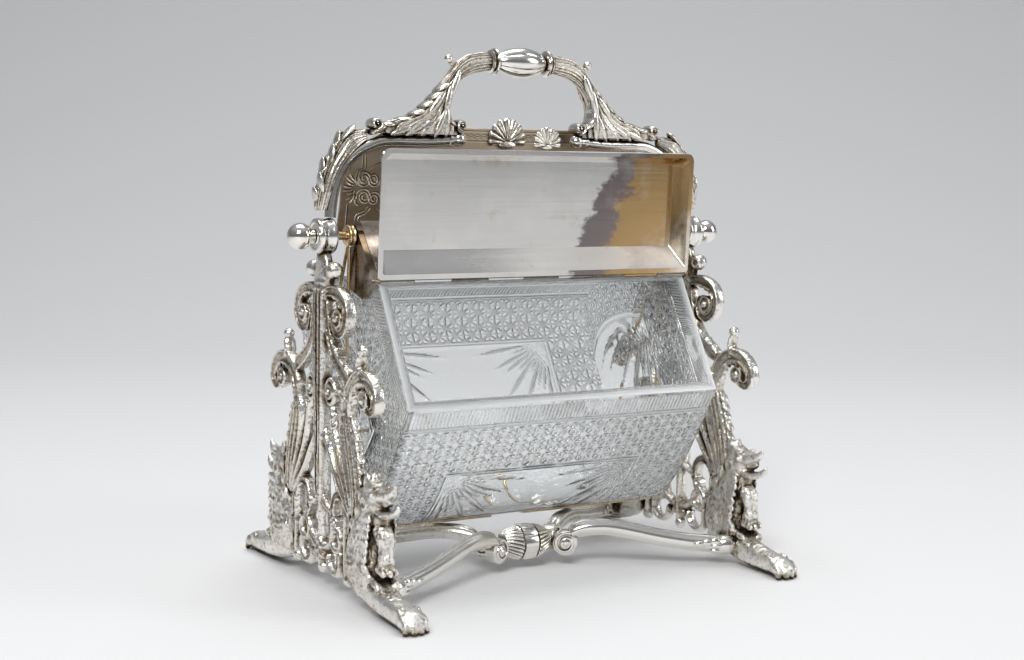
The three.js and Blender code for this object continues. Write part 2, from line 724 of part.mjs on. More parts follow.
// Straps of the front half, as shares of the reach and of the tilt axis's height; widths in straps
const frameStrapShares = {
  largeScroll: {
    line: [
      [0.443, 0.508], [0.45, 0.557], [0.514, 0.601], [0.629, 0.631], [0.771, 0.631],
      [0.88, 0.601], [0.9, 0.566], [0.84, 0.546], [0.765, 0.557],
    ],
    width: [2.5, 2.3, 2.1, 2, 1.9, 1.7, 1.5, 1.2, 1],
    steps: 10,
  },
  leg: {
    line: [[0.443, 0.525], [0.479, 0.47], [0.529, 0.41], [0.571, 0.35], [0.593, 0.295], [0.593, 0.235]],
    width: [2.7, 3.4, 3.5, 3.1, 2.75, 2.7],
    steps: 5,
  },
  stem: {
    line: [[0.086, 0.831], [0.114, 0.776], [0.157, 0.716], [0.243, 0.672], [0.357, 0.642], [0.471, 0.617]],
    width: [1.5, 1.4, 1.5, 1.75, 1.9, 1.75],
    steps: 5,
  },
  upperScroll: {
    line: [
      [0.09, 0.845], [0.2, 0.852], [0.314, 0.844], [0.405, 0.82], [0.435, 0.781],
      [0.39, 0.748], [0.307, 0.735], [0.232, 0.75], [0.214, 0.781], [0.264, 0.803],
    ],
    width: [1.2, 1.5, 1.6, 1.6, 1.5, 1.3, 1.2, 1.1, 1, 0.8],
    steps: 10,
  },
  bridge: { line: [[0.2, 0.57], [0.32, 0.575], [0.44, 0.56]], width: [0.9, 0.8, 1.2], steps: 2 },
  bead: { line: [[0.18, 0.535], [0.207, 0.5], [0.225, 0.46]], width: [1.2, 0.9, 1.3], steps: 2 },
  outerRib: {
    line: [[0.557, 0.257], [0.486, 0.328], [0.4, 0.404], [0.364, 0.481], [0.386, 0.53]],
    width: [1, 1.25, 1.1, 1, 0.8],
    steps: 4,
  },
  middleRib: {
    line: [[0.529, 0.251], [0.429, 0.317], [0.314, 0.388], [0.243, 0.459], [0.214, 0.51]],
    width: [1, 1.25, 1.25, 1, 0.8],
    steps: 4,
  },
  innerRib: {
    line: [[0.5, 0.246], [0.386, 0.295], [0.271, 0.344], [0.171, 0.399], [0.05, 0.45]],
    width: [1, 1.1, 1.1, 1, 0.8],
    steps: 4,
  },
  hook: {
    line: [
      [0.221, 0.208], [0.214, 0.246], [0.257, 0.281], [0.343, 0.292], [0.429, 0.273],
      [0.471, 0.235], [0.486, 0.18],
    ],
    width: [1.25, 1.1, 1.1, 1.2, 1.25, 1.25, 1.3],
    steps: 8,
  },
  hookLink: { line: [[0.02, 0.262], [0.12, 0.243], [0.22, 0.235]], width: [1, 0.9, 0.9], steps: 2 },
  flowerLink: { line: [[0.06, 0.12], [0.14, 0.135], [0.2, 0.15]], width: [1.3, 1.2, 1.2], steps: 2 },
  eyeLink: { line: [[0.35, 0.165], [0.42, 0.165], [0.47, 0.17]], width: [1.4, 1.3, 1.6], steps: 2 },
  hanging: {
    line: [[0.135, 0.115], [0.157, 0.08], [0.229, 0.062], [0.31, 0.068], [0.35, 0.095], [0.34, 0.135]],
    width: [0.9, 0.9, 1, 1, 0.9, 1],
    steps: 6,
  },
  haunchEdge: { line: [[0.45, 0.25], [0.44, 0.16], [0.45, 0.07]], width: [1.2, 1.1, 1.2], steps: 4 },
  finialNeck: { line: [[0.665, 0.63], [0.636, 0.66], [0.655, 0.692]], width: [1.3, 0.9, 0.7], steps: 4 },
};
// Balls of the front half: places as above, radius in straps, and how proud they stand of the middle
const frameBallShares = [
  [0.176, 0.907, 1.12, 0], [0.307, 0.779, 1.15, 0.35], [0.73, 0.575, 1.2, 0.2],
  [0.657, 0.704, 0.75, 0], [0.171, 0.571, 0.95, 0.4], [0.25, 0.208, 0.8, 0.1], [0.457, 0.062, 0.9, 0],
];
const pillarShares = {
  line: [[0, 0.87], [0, 0.6], [0, 0.42], [0, 0.25]],
  width: [3.3, 2.8, 2.3, 1.5],
  steps: 4,
};
const neckShares = {
  line: [[0, 0.965], [0, 0.93], [0, 0.89], [0, 0.85], [0, 0.82]],
  width: [2.2, 3.2, 5, 4.2, 3.2],
  steps: 5,
};
const footStemShares = { line: [[0, 0.26], [0, 0.18], [0, 0.065]], width: [1.5, 1.2, 0.9], steps: 2 };
const smallRingShares = [0.171, 0.571, 1.55, 1.9]; // place, then half sizes in straps
const eyeRingShares = [0.279, 0.158, 1.85, 0.9]; // place, then outer and inner radius in straps
const flowerShares = [0.115, 1.9, 0.16]; // height, radius in straps, depth of the notches
const flowerPetals = 6;
const smallRingThinShare = 1 / 6; // of the frame's thickness, off each face of the small ring
const pendantShares = [0.063, 0.85]; // height, radius in straps

const spot = ([across, up]) => [across * frameReach, up * pivotHeight];

function strapSlab({ line, width, steps }, side, inner = frameInner, outer = frameOuter) {
  const points = line.map(spot).map(([y, z]) => [side * y, z]);
  return slab(strapShape(points, width.map((share) => share * strap), steps), inner, outer);
}

function ringSlab(y, z, half, halfUp, hole, inner, outer) {
  const shape = new THREE.Shape().absellipse(y, z, half, halfUp, 0, 2 * Math.PI, false, 0);
  if (hole > 0) shape.holes.push(new THREE.Path().absellipse(y, z, hole, hole, 0, 2 * Math.PI, true, 0));
  return slab(shape, inner, outer, 5);
}

// A bead up one edge of the tapering pillar
function pillarBead(side) {
  const [topShare, footShare] = [pillarShares.line[0][1], pillarShares.line[3][1]];
  const [topWidth, footWidth] = [pillarShares.width[0] * strap, pillarShares.width[3] * strap];
  const rise = (topShare - footShare) * pivotHeight;
  const lean = (topWidth - footWidth - pillarFlute) / 2;
  const bead = new THREE.CylinderGeometry(pillarFlute, pillarFlute / 2, rise, 6);
  bead.rotateX(Math.PI / 2 - side * Math.atan2(lean, rise));
  const away = (topWidth + footWidth) / 4 - pillarFlute;
  const middleUp = ((topShare + footShare) / 2) * pivotHeight;
  return bead.translate(pillarOuter - pillarFlute, side * away, middleUp);
}

function sideFrame() {
  const middle = (frameInner + frameOuter) / 2;
  const ringThin = frameThickness * smallRingThinShare;
  const pieces = [
    strapSlab(neckShares, 1),
    strapSlab(pillarShares, 1, frameInner, pillarOuter - pillarFlute / 2),
    strapSlab(footStemShares, 1),
    drum(ringRadius, ringInner, ringOuter, 0, pivotHeight, 20),
  ];
  for (const side of [-1, 1]) {
    for (const item of Object.values(frameStrapShares)) pieces.push(strapSlab(item, side));
    for (const [across, up, size, proud] of frameBallShares) {
      const [y, z] = spot([across, up]);
      pieces.push(ball(size * strap, middle + proud * frameThickness, side * y, z));
    }
    const [smallY, smallZ] = spot(smallRingShares);
    const [smallHalf, smallHalfUp] = smallRingShares.slice(2).map((share) => share * strap);
    const [smallInner, smallOuter] = [frameInner + ringThin, frameOuter - ringThin];
    pieces.push(ringSlab(side * smallY, smallZ, smallHalf, smallHalfUp, 0, smallInner, smallOuter));
    const [eyeY, eyeZ] = spot(eyeRingShares);
    const [eyeHalf, eyeHole] = eyeRingShares.slice(2).map((share) => share * strap);
    pieces.push(ringSlab(side * eyeY, eyeZ, eyeHalf, eyeHalf, eyeHole, frameInner, frameOuter));
    pieces.push(pillarBead(side));
  }
  const [flowerUp, flowerSize, notch] = flowerShares;
  const flowerSteps = flowerPetals * 4;
  const outline = Array.from({ length: flowerSteps }, (_, i) => {
    const angle = (2 * Math.PI * i) / flowerSteps;
    const reach = flowerSize * strap * (1 - notch + notch * Math.cos(flowerPetals * angle));
    return new THREE.Vector2(reach * Math.sin(angle), flowerUp * pivotHeight + reach * Math.cos(angle));
  });
  pieces.push(slab(new THREE.Shape(outline), frameInner, pillarOuter));
  pieces.push(ball(pendantShares[1] * strap, middle, 0, pendantShares[0] * pivotHeight));
  const cuts = [drum(pinRadius + pinPlay, ringInner - overrun, ringOuter + overrun, 0, pivotHeight)];
  for (const side of [-1, 1]) {
    const [near, far] = [side * seatBack, side * (seatBack + frameReach)];
    const [from, to] = [Math.min(near, far), Math.max(near, far)];
    cuts.push(block(ringInner - overrun, ringOuter + overrun, from, to, 0, seatHeight));
  }
  return fused(pieces, cuts);
}
addPair(model, 'side_frame', sideFrame(), silver);

// Griffin feet, drawn in the plane of the frame with the toes forward; rails as shares of the
// toes' reach and of the head's height, half thicknesses in straps
const griffinShares = {
  foot: {
    top: [
      [0.4, 0.2], [0.48, 0.27], [0.6, 0.26], [0.72, 0.21], [0.84, 0.175], [0.94, 0.15], [0.995, 0.09],
    ],
    base: [
      [0.4, 0.12], [0.5, 0.07], [0.62, 0.03], [0.75, -0.02], [0.87, -0.035], [0.95, -0.035], [0.997, 0.02],
    ],
    half: [1.3, 1.65, 1.75, 1.6, 1.75, 1.85, 1],
  },
  body: {
    top: [[0.57, 0.1], [0.6, 0.3], [0.605, 0.48], [0.61, 0.6], [0.63, 0.72], [0.63, 0.83], [0.585, 0.94]],
    base: [[0.4, 0.12], [0.3, 0.27], [0.31, 0.47], [0.38, 0.62], [0.465, 0.73], [0.468, 0.87], [0.5, 0.99]],
    half: [1.6, 2.1, 2.1, 1.9, 1.6, 1.5, 0.9],
  },
  crown: {
    top: [[0.54, 0.93], [0.62, 0.93], [0.69, 0.93], [0.73, 0.95]],
    base: [[0.55, 0.77], [0.63, 0.8], [0.69, 0.84], [0.735, 0.92]],
    half: [1.4, 1.25, 0.8, 0.25],
  },
  jaw: {
    top: [[0.55, 0.82], [0.66, 0.8], [0.735, 0.81], [0.775, 0.81]],
    base: [[0.57, 0.7], [0.665, 0.73], [0.74, 0.77], [0.775, 0.79]],
    half: [1.3, 1, 0.65, 0.3],
  },
  paw: {
    top: [[0.64, 0.68], [0.685, 0.6], [0.69, 0.48], [0.7, 0.41], [0.685, 0.36]],
    base: [[0.57, 0.55], [0.615, 0.5], [0.635, 0.45], [0.625, 0.39], [0.64, 0.35]],
    half: [1.3, 1.1, 0.95, 1.2, 0.8],
  },
};
const griffinHornShares = [[0.51, 0.97, 0.12], [0.56, 0.95, 0.1]]; // place and height
const hornRadiusShares = [0.5, 0.1]; // foot and tip, in straps
const toeShares = [[0.965, -0.8], [0.98, 0.8]]; // place forward, and across in straps
const toeBallShares = [1, 0.5, 0.8]; // radius, place behind the tip and height, in straps

function griffin() {
  const spotted = ([forward, up]) => [-forward * toeReach, up * headHeight];
  const place = (y, z, x) => new THREE.Vector3(griffinMiddle + x, y, z);
  const pieces = Object.values(griffinShares).map(({ top, base, half }) => (
    casting(top.map(spotted), base.map(spotted), half.map((share) => share * strap), place)
  ));
  const [hornFoot, hornTip] = hornRadiusShares.map((share) => share * strap);
  for (const [forward, up, rise] of griffinHornShares) {
    const horn = new THREE.CylinderGeometry(hornTip, hornFoot, rise * headHeight, 6).rotateX(Math.PI / 2);
    pieces.push(horn.translate(griffinMiddle, -forward * toeReach, up * headHeight));
  }
  const [toeRadius, toeBehind, toeUp] = toeBallShares.map((share) => share * strap);
  for (const [forward, across] of toeShares) {
    const [x, y] = [griffinMiddle + across * strap, toeBehind - forward * toeReach];
    pieces.push(ball(toeRadius, x, y, toeUp));
  }
  pieces.push(drum(padRadius, padFace, griffinMiddle, -padBack, padHeight));
  const [inner, outer] = [padFace - overrun, ringOuter + overrun];
  const [top, front] = [headHeight + overrun, -toeReach - overrun];
  const cuts = [
    block(inner, outer, -seatBack - gap, seatBack, 0, top),
    block(inner, outer, -seatBack - seatDepth, -seatBack, seatHeight - gap, top),
    block(inner, outer, front, 0, -overrun, 0),
  ];
  return fused(pieces, cuts);
}
const griffinForm = griffin();
addPair(model, 'front_griffin', griffinForm, wornSilver);
addPair(model, 'rear_griffin', mirrored(griffinForm, 1, -1), wornSilver);

// Stretcher arms: crown and underside as shares of the arm's length and of its crown's height
const armShares = {
  top: [
    [-0.03, 0.7], [0.02, 0.86], [0.08, 0.96], [0.17, 1], [0.28, 0.985], [0.42, 0.9], [0.57, 0.79],
    [0.75, 0.69], [0.92, 0.64], [1.06, 0.62],
  ],
  base: [
    [-0.01, 0.48], [0.03, 0.56], [0.08, 0.66], [0.16, 0.76], [0.27, 0.75], [0.41, 0.65], [0.56, 0.53],
    [0.74, 0.41], [0.91, 0.33], [1.06, 0.28],
  ],
  half: [1, 1.05, 1.05, 1, 0.9, 0.85, 0.85, 0.9, 1, 1],
};

function stretcherArm(eyeBack, footBack, rise) {
  const eye = new THREE.Vector2(voluteSide, eyeBack);
  const way = new THREE.Vector2(padFace, footBack).sub(eye);
  const length = way.length();
  way.normalize();
  const place = (u, z, w) => {
    const [x, y] = [eye.x + way.x * u - way.y * w, eye.y + way.y * u + way.x * w];
    return new THREE.Vector3(x, y, z);
  };
  const railOf = (shares) => shares.map(([along, up]) => [along * length, up * rise]);
  const halves = armShares.half.map((share) => share * armHalfWidth);
  const arm = casting(railOf(armShares.top), railOf(armShares.base), halves, place, 8);
  const roll = new THREE.CylinderGeometry(voluteRadius, voluteRadius, 2 * armHalfWidth, 14);
  roll.rotateZ(way.angle()).translate(eye.x, eye.y, voluteHeight);
  const face = padFace - gap;
  return fused([arm, roll], [block(face, ringOuter, -toeReach, toeReach, 0, pivotHeight)]);
}
addPair(model, 'front_stretcher_arm', stretcherArm(bossBack - voluteSpread, -padBack, armRise), silver);
addPair(model, 'rear_stretcher_arm', stretcherArm(bossBack + voluteSpread, padBack, rearArmRise), silver);

// Stations of the boss as shares of its half length and of its section
const bossStationShares = [[-1, 0.66], [-0.66, 0.92], [0, 1], [0.66, 0.92], [1, 0.66]];
const bossGrooveShare = 0.93; // of the way out, between two lobes

function stretcherBoss() {
  const centre = (bossHeight + bossFoot) / 2;
  const halfHeight = bossHeight - centre;
  const count = bossLobes * 2;
  const rings = bossStationShares.map(([along, size]) => Array.from({ length: count }, (_, i) => {
    const angle = (2 * Math.PI * i) / count;
    const reach = i % 2 === 0 ? size : size * bossGrooveShare;
    const y = bossBack + bossHalfDepth * reach * Math.cos(angle);
    return new THREE.Vector3(bossHalfLength * along, y, centre + halfHeight * reach * Math.sin(angle));
  }));
  return loft(rings);
}
add(model, 'stretcher_boss', stretcherBoss(), silver);

// Arch rods and the leaves laid along them

// Middle line of the bend, as shares of the way out from the level stretch's end to the rod's foot
const bendShares = [
  [0, 0], [0.26, 0.03], [0.54, 0.14], [0.74, 0.29], [0.88, 0.48], [0.96, 0.72], [1, 1], [1.01, 1.2],
];
const rodEndHeight = rodHeight + rodRadius * rodLiftShare;

// Height of the rod's middle line over a place out from the middle
function rodHeightAt(x) {
  const out = (x - bendStart) / bendReach;
  if (out <= 0) return rodHeight;
  const next = bendShares.findIndex(([share]) => share >= out);
  const [[outA, downA], [outB, downB]] = [bendShares[next - 1], bendShares[next]];
  const down = THREE.MathUtils.mapLinear(out, outA, outB, downA, downB);
  return THREE.MathUtils.lerp(rodHeight, rodFoot, down);
}

function rodLine(radius) {
  const bend = bendShares.map(([out, down]) => new THREE.Vector3(
    THREE.MathUtils.lerp(bendStart, rodSide, out),
    0,
    THREE.MathUtils.lerp(rodHeight, rodFoot, down),
  ));
  const start = new THREE.Vector3(rodInner, 0, rodEndHeight);
  const level = new THREE.Vector3((rodInner + bendStart) / 2, 0, rodHeight);
  return wire([start, level, ...bend], radius, 10);
}

const rodEndBall = (clear) => ball(rodRadius + clear, rodInner, 0, rodEndHeight, 10, 6);

function archRod() {
  const end = rodEndBall(0);
  const [inner, outer] = [ringInner - overrun, ringOuter + overrun];
  const ringRoom = drum(ringRadius + gap, inner, outer, 0, pivotHeight, 20);
  return fused([rodLine(rodRadius), end], [ringRoom]);
}
addPair(model, 'arch_rod', archRod(), silver);

// Inner and outer edge of the leaf, as shares of its span and rise; half thicknesses in straps
const leafShares = {
  inner: [[0, 0.88], [0.2, 0.76], [0.42, 0.6], [0.58, 0.42], [0.69, 0.22], [0.77, 0]],
  outer: [[0.02, 1], [0.42, 1], [0.68, 0.78], [0.88, 0.52], [0.98, 0.24], [1, 0]],
  half: [0.4, 1.1, 1.35, 1.3, 1.1, 0.5],
};
function archLeaf() {
  const railOf = (shares) => shares.map(([out, up]) => [
    ringOuter - leafSpan * (1 - out),
    THREE.MathUtils.lerp(rodFoot + leafLift, rodHeight + leafProud, up),
  ]);
  const halves = leafShares.half.map((share) => share * strap);
  const place = (x, z, y) => new THREE.Vector3(x, y, z);
  const leaf = casting(railOf(leafShares.inner), railOf(leafShares.outer), halves, place, 8);
  return fused([leaf], [rodLine(rodRadius + gap)]);
}
addPair(model, 'arch_leaf', archLeaf(), wornSilver);

// Back plate, hung behind the arch on four lugs

function backPlate() {
  const shape = new THREE.Shape();
  const low = rodHeight + plateProud - plateCorner;
  const foot = pivotHeight + plateLift;
  shape.moveTo(-plateHalfFoot, foot);
  shape.lineTo(plateHalfFoot, foot);
  shape.lineTo(plateHalfTop, low);
  shape.absarc(plateHalfTop - plateCorner, low, plateCorner, 0, Math.PI / 2, false);
  shape.absarc(-plateHalfTop + plateCorner, low, plateCorner, Math.PI / 2, Math.PI, false);
  shape.closePath();
  return panel(shape, plateBack, plateBack + plateSheet, 10);
}
add(model, 'back_plate', backPlate(), silver);

for (const [k, place] of ['inner', 'outer'].entries()) {
  const [front, back] = [rodRadius + gap, plateBack - gap];
  const side = lugSideShares[k] * rodSide;
  const lug = new THREE.CylinderGeometry(lugRadius, lugRadius, back - front, 10);
  lug.translate(side, (front + back) / 2, rodHeightAt(side));
  addPair(model, `${place}_plate_lug`, lug, silver);
}

function plateShell() {
  const turnedUp = shell(plateShellRadius).rotateX(Math.PI / 2);
  return turnedUp.translate(0, plateBack - gap, rodHeight + plateShellLift);
}
add(model, 'plate_shell', plateShell(), wornSilver);

// Handle

const collarOuter = gripHalfLength + gap + collarLength;
const gripFallShare = 0.9; // of the swell, lost towards the ends
const gripGrooveShare = 0.95; // of the way out, between two lobes

function grip() {
  const stations = 9;
  const count = gripLobes * 3;
  const rings = Array.from({ length: stations }, (_, k) => {
    const along = (2 * k) / (stations - 1) - 1;
    const swell = Math.sqrt(1 - gripFallShare * along * along);
    const reach = gripEndRadius + (gripRadius - gripEndRadius) * swell - (along * along * gap) / 2;
    return Array.from({ length: count }, (_, i) => {
      const angle = (2 * Math.PI * i) / count;
      const lobe = i % 3 === 0 ? gripGrooveShare : 1;
      return new THREE.Vector3(
        along * gripHalfLength,
        reach * lobe * Math.cos(angle),
        gripHeight + reach * lobe * Math.sin(angle),
      );
    });
  });
  const boreEnd = gripHalfLength + overrun;
  const bore = drum(tieRadius + pinPlay, -boreEnd, boreEnd, 0, gripHeight, 10);
  return fused([loft(rings)], [bore]);
}
add(model, 'handle_grip', grip(), silver);

function gripCollar() {
  const from = gripHalfLength + gap;
  const bore = tieRadius + pinPlay;
  const edge = collarLength / 4;
  return turned([
    [bore, from],
    [collarRadius - edge, from],
    [collarRadius, from + edge],
    [collarWaist, from + 2 * edge],
    [collarRadius - edge, from + 3 * edge],
    [collarWaist, from + collarLength],
    [bore, from + collarLength],
    [bore, from],
  ]).translate(0, 0, gripHeight);
}
addPair(model, 'grip_collar', gripCollar(), silver);

add(model, 'grip_tie', drum(tieRadius, -tieHalfLength, tieHalfLength, 0, gripHeight, 10), silver);

// Inner and outer edges of an arm, as shares of the way from collar to foot; halves in straps
const handleArmShares = {
  inner: [
    [0, 0], [0.15, 0.06], [0.26, 0.17], [0.345, 0.36], [0.37, 0.56], [0.34, 0.74], [0.27, 0.86], [0.27, 1],
  ],
  outer: [
    [0, 0], [0.15, 0.02], [0.26, 0.1], [0.41, 0.35], [0.54, 0.56], [0.71, 0.75], [0.97, 0.88], [1, 1],
  ],
  half: [1.1, 1.15, 1.2, 1.3, 1.35, 1.5, 1.6, 1.5],
};
const budShares = [0.355, -0.008, 0.6]; // place of the bud on the arm's back, and radius in straps
// Neck from the arm up to the bud: places from the bud, in straps, then half thicknesses
const budNeckShares = {
  inner: [[-1.2, -0.93], [-0.25, 0]],
  outer: [[0.25, -1.93], [0.333, -0.25]],
  half: [0.5, 0.333],
};

function handleArm() {
  const start = collarOuter + gap;
  const base = rodHeight + rodRadius;
  const railOf = (shares, height) => shares.map(([out, down]) => [
    THREE.MathUtils.lerp(start, armFootOuter, out),
    THREE.MathUtils.lerp(height, base, down),
  ]);
  const inner = railOf(handleArmShares.inner, gripHeight - armEndHalf);
  const outer = railOf(handleArmShares.outer, gripHeight + armEndHalf);
  const halves = handleArmShares.half.map((share) => share * strap);
  const place = (x, z, y) => new THREE.Vector3(x, y, z);
  const arm = casting(inner, outer, halves, place, 8);
  const rolls = [armFootInner, armFootOuter].map((x) => {
    const roll = new THREE.CylinderGeometry(scrollRadius, scrollRadius, 2 * scrollHalf, 12);
    return roll.translate(x, 0, base + scrollLift);
  });
  const toe = new THREE.CylinderGeometry(scrollRadius / 2, scrollRadius / 2, 2 * toeHalf, 8);
  const toes = [armFootInner + scrollRadius, armFootOuter - scrollRadius].map((x) => (
    toe.clone().translate(x, 0, base + scrollRadius)
  ));
  const [out, down, size] = budShares;
  const budX = THREE.MathUtils.lerp(start, armFootOuter, out);
  const budZ = THREE.MathUtils.lerp(gripHeight, base, down);
  const bud = ball(size * strap, budX, 0, budZ);
  const neckRail = (shares) => shares.map(([across, up]) => [budX + across * strap, budZ + up * strap]);
  const neckHalves = budNeckShares.half.map((share) => share * strap);
  const neck = casting(neckRail(budNeckShares.inner), neckRail(budNeckShares.outer), neckHalves, place);
  const bore = drum(tieRadius + pinPlay, start - overrun, tieHalfLength + gap, 0, gripHeight, 10);
  return fused([arm, ...rolls, ...toes, bud, neck], [bore, rodLine(rodRadius + gap), rodEndBall(gap)]);
}
addPair(model, 'handle_arm', handleArm(), silver);

export default model;
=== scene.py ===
import json
import math

import bmesh
import bpy
import numpy as np
from mathutils import Matrix, Vector, noise


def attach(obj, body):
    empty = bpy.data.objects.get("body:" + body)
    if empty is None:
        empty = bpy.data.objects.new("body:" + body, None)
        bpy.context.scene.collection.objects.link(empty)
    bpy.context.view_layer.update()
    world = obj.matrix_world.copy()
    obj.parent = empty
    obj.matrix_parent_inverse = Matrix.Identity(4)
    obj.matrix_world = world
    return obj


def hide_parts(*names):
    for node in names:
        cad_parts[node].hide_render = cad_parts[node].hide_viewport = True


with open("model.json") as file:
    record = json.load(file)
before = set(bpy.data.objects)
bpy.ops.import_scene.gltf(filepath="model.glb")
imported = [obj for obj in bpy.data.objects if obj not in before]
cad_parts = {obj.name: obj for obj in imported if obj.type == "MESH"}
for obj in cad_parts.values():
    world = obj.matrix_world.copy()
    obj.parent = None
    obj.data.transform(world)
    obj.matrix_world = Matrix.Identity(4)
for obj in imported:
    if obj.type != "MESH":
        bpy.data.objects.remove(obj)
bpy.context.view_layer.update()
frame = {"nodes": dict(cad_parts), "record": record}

# Lengths are millimetres, in the frame's axes, until a mesh is made; the stage and the lights are in metres
MM = 0.001
# Vertices nearer than this are one
WELD = 0.002
PIVOT = np.array([0.0, 0.0, 183.0])
HANG = math.radians(60.5)
LID_TURN = math.radians(-147.0)
HINGE = np.array([0.0, -31.0, 10.1])

# Camera
LENS_PX, IMAGE_WIDTH_PX, SENSOR, FAR_CLIP = 1621.0, 1024.0, 36.0, 100
YAW, PITCH, ROLL = (math.radians(a) for a in (30.63, 5.68, 0.70))
EYE = np.array([-452.6, -759.7, 218.2])


def placed(name, data):
    item = bpy.data.objects.new(name, data)
    bpy.context.collection.objects.link(item)
    return item


def meshed(name, verts, faces):
    mesh = bpy.data.meshes.new(name)
    mesh.from_pydata(verts, [], faces)
    return mesh


def add_camera():
    data = bpy.data.cameras.new("camera")
    data.sensor_width = SENSOR
    data.lens = SENSOR * LENS_PX / IMAGE_WIDTH_PX
    data.clip_end = FAR_CLIP
    camera = placed("camera", data)
    forward = Vector((math.sin(YAW) * math.cos(PITCH), math.cos(YAW) * math.cos(PITCH), -math.sin(PITCH)))
    level = Vector((math.cos(YAW), -math.sin(YAW), 0))
    right = level * math.cos(ROLL) + level.cross(forward) * math.sin(ROLL)
    up = right.cross(forward)
    turn = Matrix((right, up, -forward)).transposed().to_4x4()
    camera.matrix_world = Matrix.Translation(Vector(EYE * MM)) @ turn
    bpy.context.scene.camera = camera


# Materials

class Nodes:
    """The nodes of one shader; a step's inputs are numbers, colours or the outputs of other steps."""

    def __init__(self, tree):
        self.tree = tree

    def feed(self, socket, value):
        if isinstance(value, bpy.types.NodeSocket):
            self.tree.links.new(value, socket)
        else:
            socket.default_value = (*value, 1) if socket.type == "RGBA" else value

    def step(self, kind, output, inputs, **settings):
        node = self.tree.nodes.new(f"ShaderNode{kind}")
        for name, value in settings.items():
            setattr(node, name, value)
        for name, value in inputs.items():
            self.feed(node.inputs[name], value)
        return node.outputs[output]

    def axes(self, output):
        source = self.step("TexCoord", output, {})
        split = self.tree.nodes.new("ShaderNodeSeparateXYZ")
        self.feed(split.inputs["Vector"], source)
        return split.outputs

    def cloud(self, scale, detail=4.0, rough=0.6, stretch=None):
        source = self.step("TexCoord", "Object", {})
        if stretch:
            source = self.step("Mapping", "Vector", {"Vector": source, "Scale": stretch})
        return self.step("TexNoise", "Fac", {
            "Vector": source, "Scale": scale, "Detail": detail, "Roughness": rough})

    def ramp(self, source, stops):
        node = self.tree.nodes.new("ShaderNodeValToRGB")
        elements = node.color_ramp.elements
        while len(elements) < len(stops):
            elements.new(0.5)
        for element, (place, color) in zip(elements, stops):
            element.position = place
            element.color = (*color, 1)
        self.feed(node.inputs["Fac"], source)
        return node.outputs["Color"]

    def calc(self, kind, first, second, clamp=True):
        return self.step("Math", "Value", {0: first, 1: second}, operation=kind, use_clamp=clamp)

    def span(self, source, low, high, to_low=0.0, to_high=1.0):
        ends = {"From Min": low, "From Max": high, "To Min": to_low, "To Max": to_high}
        return self.step("MapRange", "Result", {"Value": source, **ends})

    def mix(self, factor, first, second):
        return self.step("Mix", "Result", {"Factor": factor, "A": first, "B": second}, data_type="RGBA")

    def bump(self, height, depth, strength=1.0):
        return self.step("Bump", "Normal", {"Height": height, "Distance": depth * MM, "Strength": strength})


class Surface(Nodes):
    """A material whose shader takes what its nodes work out."""

    def __init__(self, name):
        self.material = bpy.data.materials.new(name)
        self.material.use_nodes = True
        super().__init__(self.material.node_tree)

    def finish(self, inputs):
        for name, value in inputs.items():
            self.feed(self.tree.nodes["Principled BSDF"].inputs[name], value)
        return self.material

    def metal(self, color, rough, grain, depth, strength=1.0):
        return self.finish({
            "Base Color": color, "Metallic": 1.0, "Roughness": rough,
            "Normal": self.bump(grain, depth, strength)})


# Cast silver: colour where worn, roughness where worn and where dark, reach of a hollow, openness at
# which the dark ends and the shine begins, scale and depth of the grain
SILVERS = {
    "cast_silver": ((0.86, 0.84, 0.8), 0.18, 0.5, 5.0, 0.22, 0.72, 420.0, 0.22),
    "griffin_silver": ((0.92, 0.9, 0.86), 0.26, 0.55, 4.6, 0.24, 0.73, 520.0, 0.4),
    "leaf_silver": ((0.86, 0.83, 0.77), 0.16, 0.5, 3.6, 0.22, 0.72, 480.0, 0.3),
    "smooth_silver": ((0.86, 0.84, 0.8), 0.12, 0.36, 2.6, 0.02, 0.5, 300.0, 0.06),
}
TARNISH = [(0.0, (0.025, 0.019, 0.013)), (0.35, (0.13, 0.1, 0.065)), (0.68, (0.46, 0.4, 0.31))]
# Clouds: scale, detail, roughness and stretch, the last two only where they aren't the usual ones
BLOTCHES, SPECKS, WARMTH = (18.0, 6.0), (460.0, 4.0, 0.7), (63.0, 5.0)
STAINS, SCRATCHES = (22.0, 5.0), (260.0, 3.0)
GLASS_WEAR, GLASS_WAVES, RAGGED = (55.0, 4.0), (30.0, 2.0), (70.0, 6.0, 0.65, (0.5, 1.0, 1.0))
FADING, BRUISES, BRUSHING = (24.0, 6.0, 0.62), (60.0, 6.0, 0.7), (900.0, 3.0, 0.6, (0.02, 1.0, 1.0))
# Where on its cloud each begins and is full, and how strong it is at these two
SPECK_SPAN, WARM_SPAN = (0.52, 0.72, 0.0, 0.3), (0.52, 0.78, 0.0, 0.35)
FADE_SPAN, BRUISE_SPAN = (0.5, 0.75, 0.0, 0.45), (0.6, 0.75, 0.0, 0.6)
BLOTCH_SHARE, GRAIN_SHARE, GRAIN_DETAIL, STAIN_SHARE, STAIN_REACH = 0.45, 0.12, 5.0, 0.6, 0.2
WARM_STAIN = (0.55, 0.42, 0.27)
# Polished metal: colour, roughness, colour of its stains, and where on a cloud they begin
POLISHES = {
    "ball_silver": ((0.86, 0.83, 0.78), 0.05, (0.62, 0.47, 0.28), 0.58),
    "wire_brass": ((0.66, 0.49, 0.28), 0.22, (0.75, 0.7, 0.62), 0.58),
    "engraved_line": ((0.09, 0.07, 0.05), 0.3, (0.4, 0.34, 0.26), 0.55),
    # The next row colours a painted highlight: a bright twin of each engraved line, set off to one side
    "painted_edge_highlight": ((0.9, 0.82, 0.68), 0.35, (0.7, 0.6, 0.45), 0.55),
}
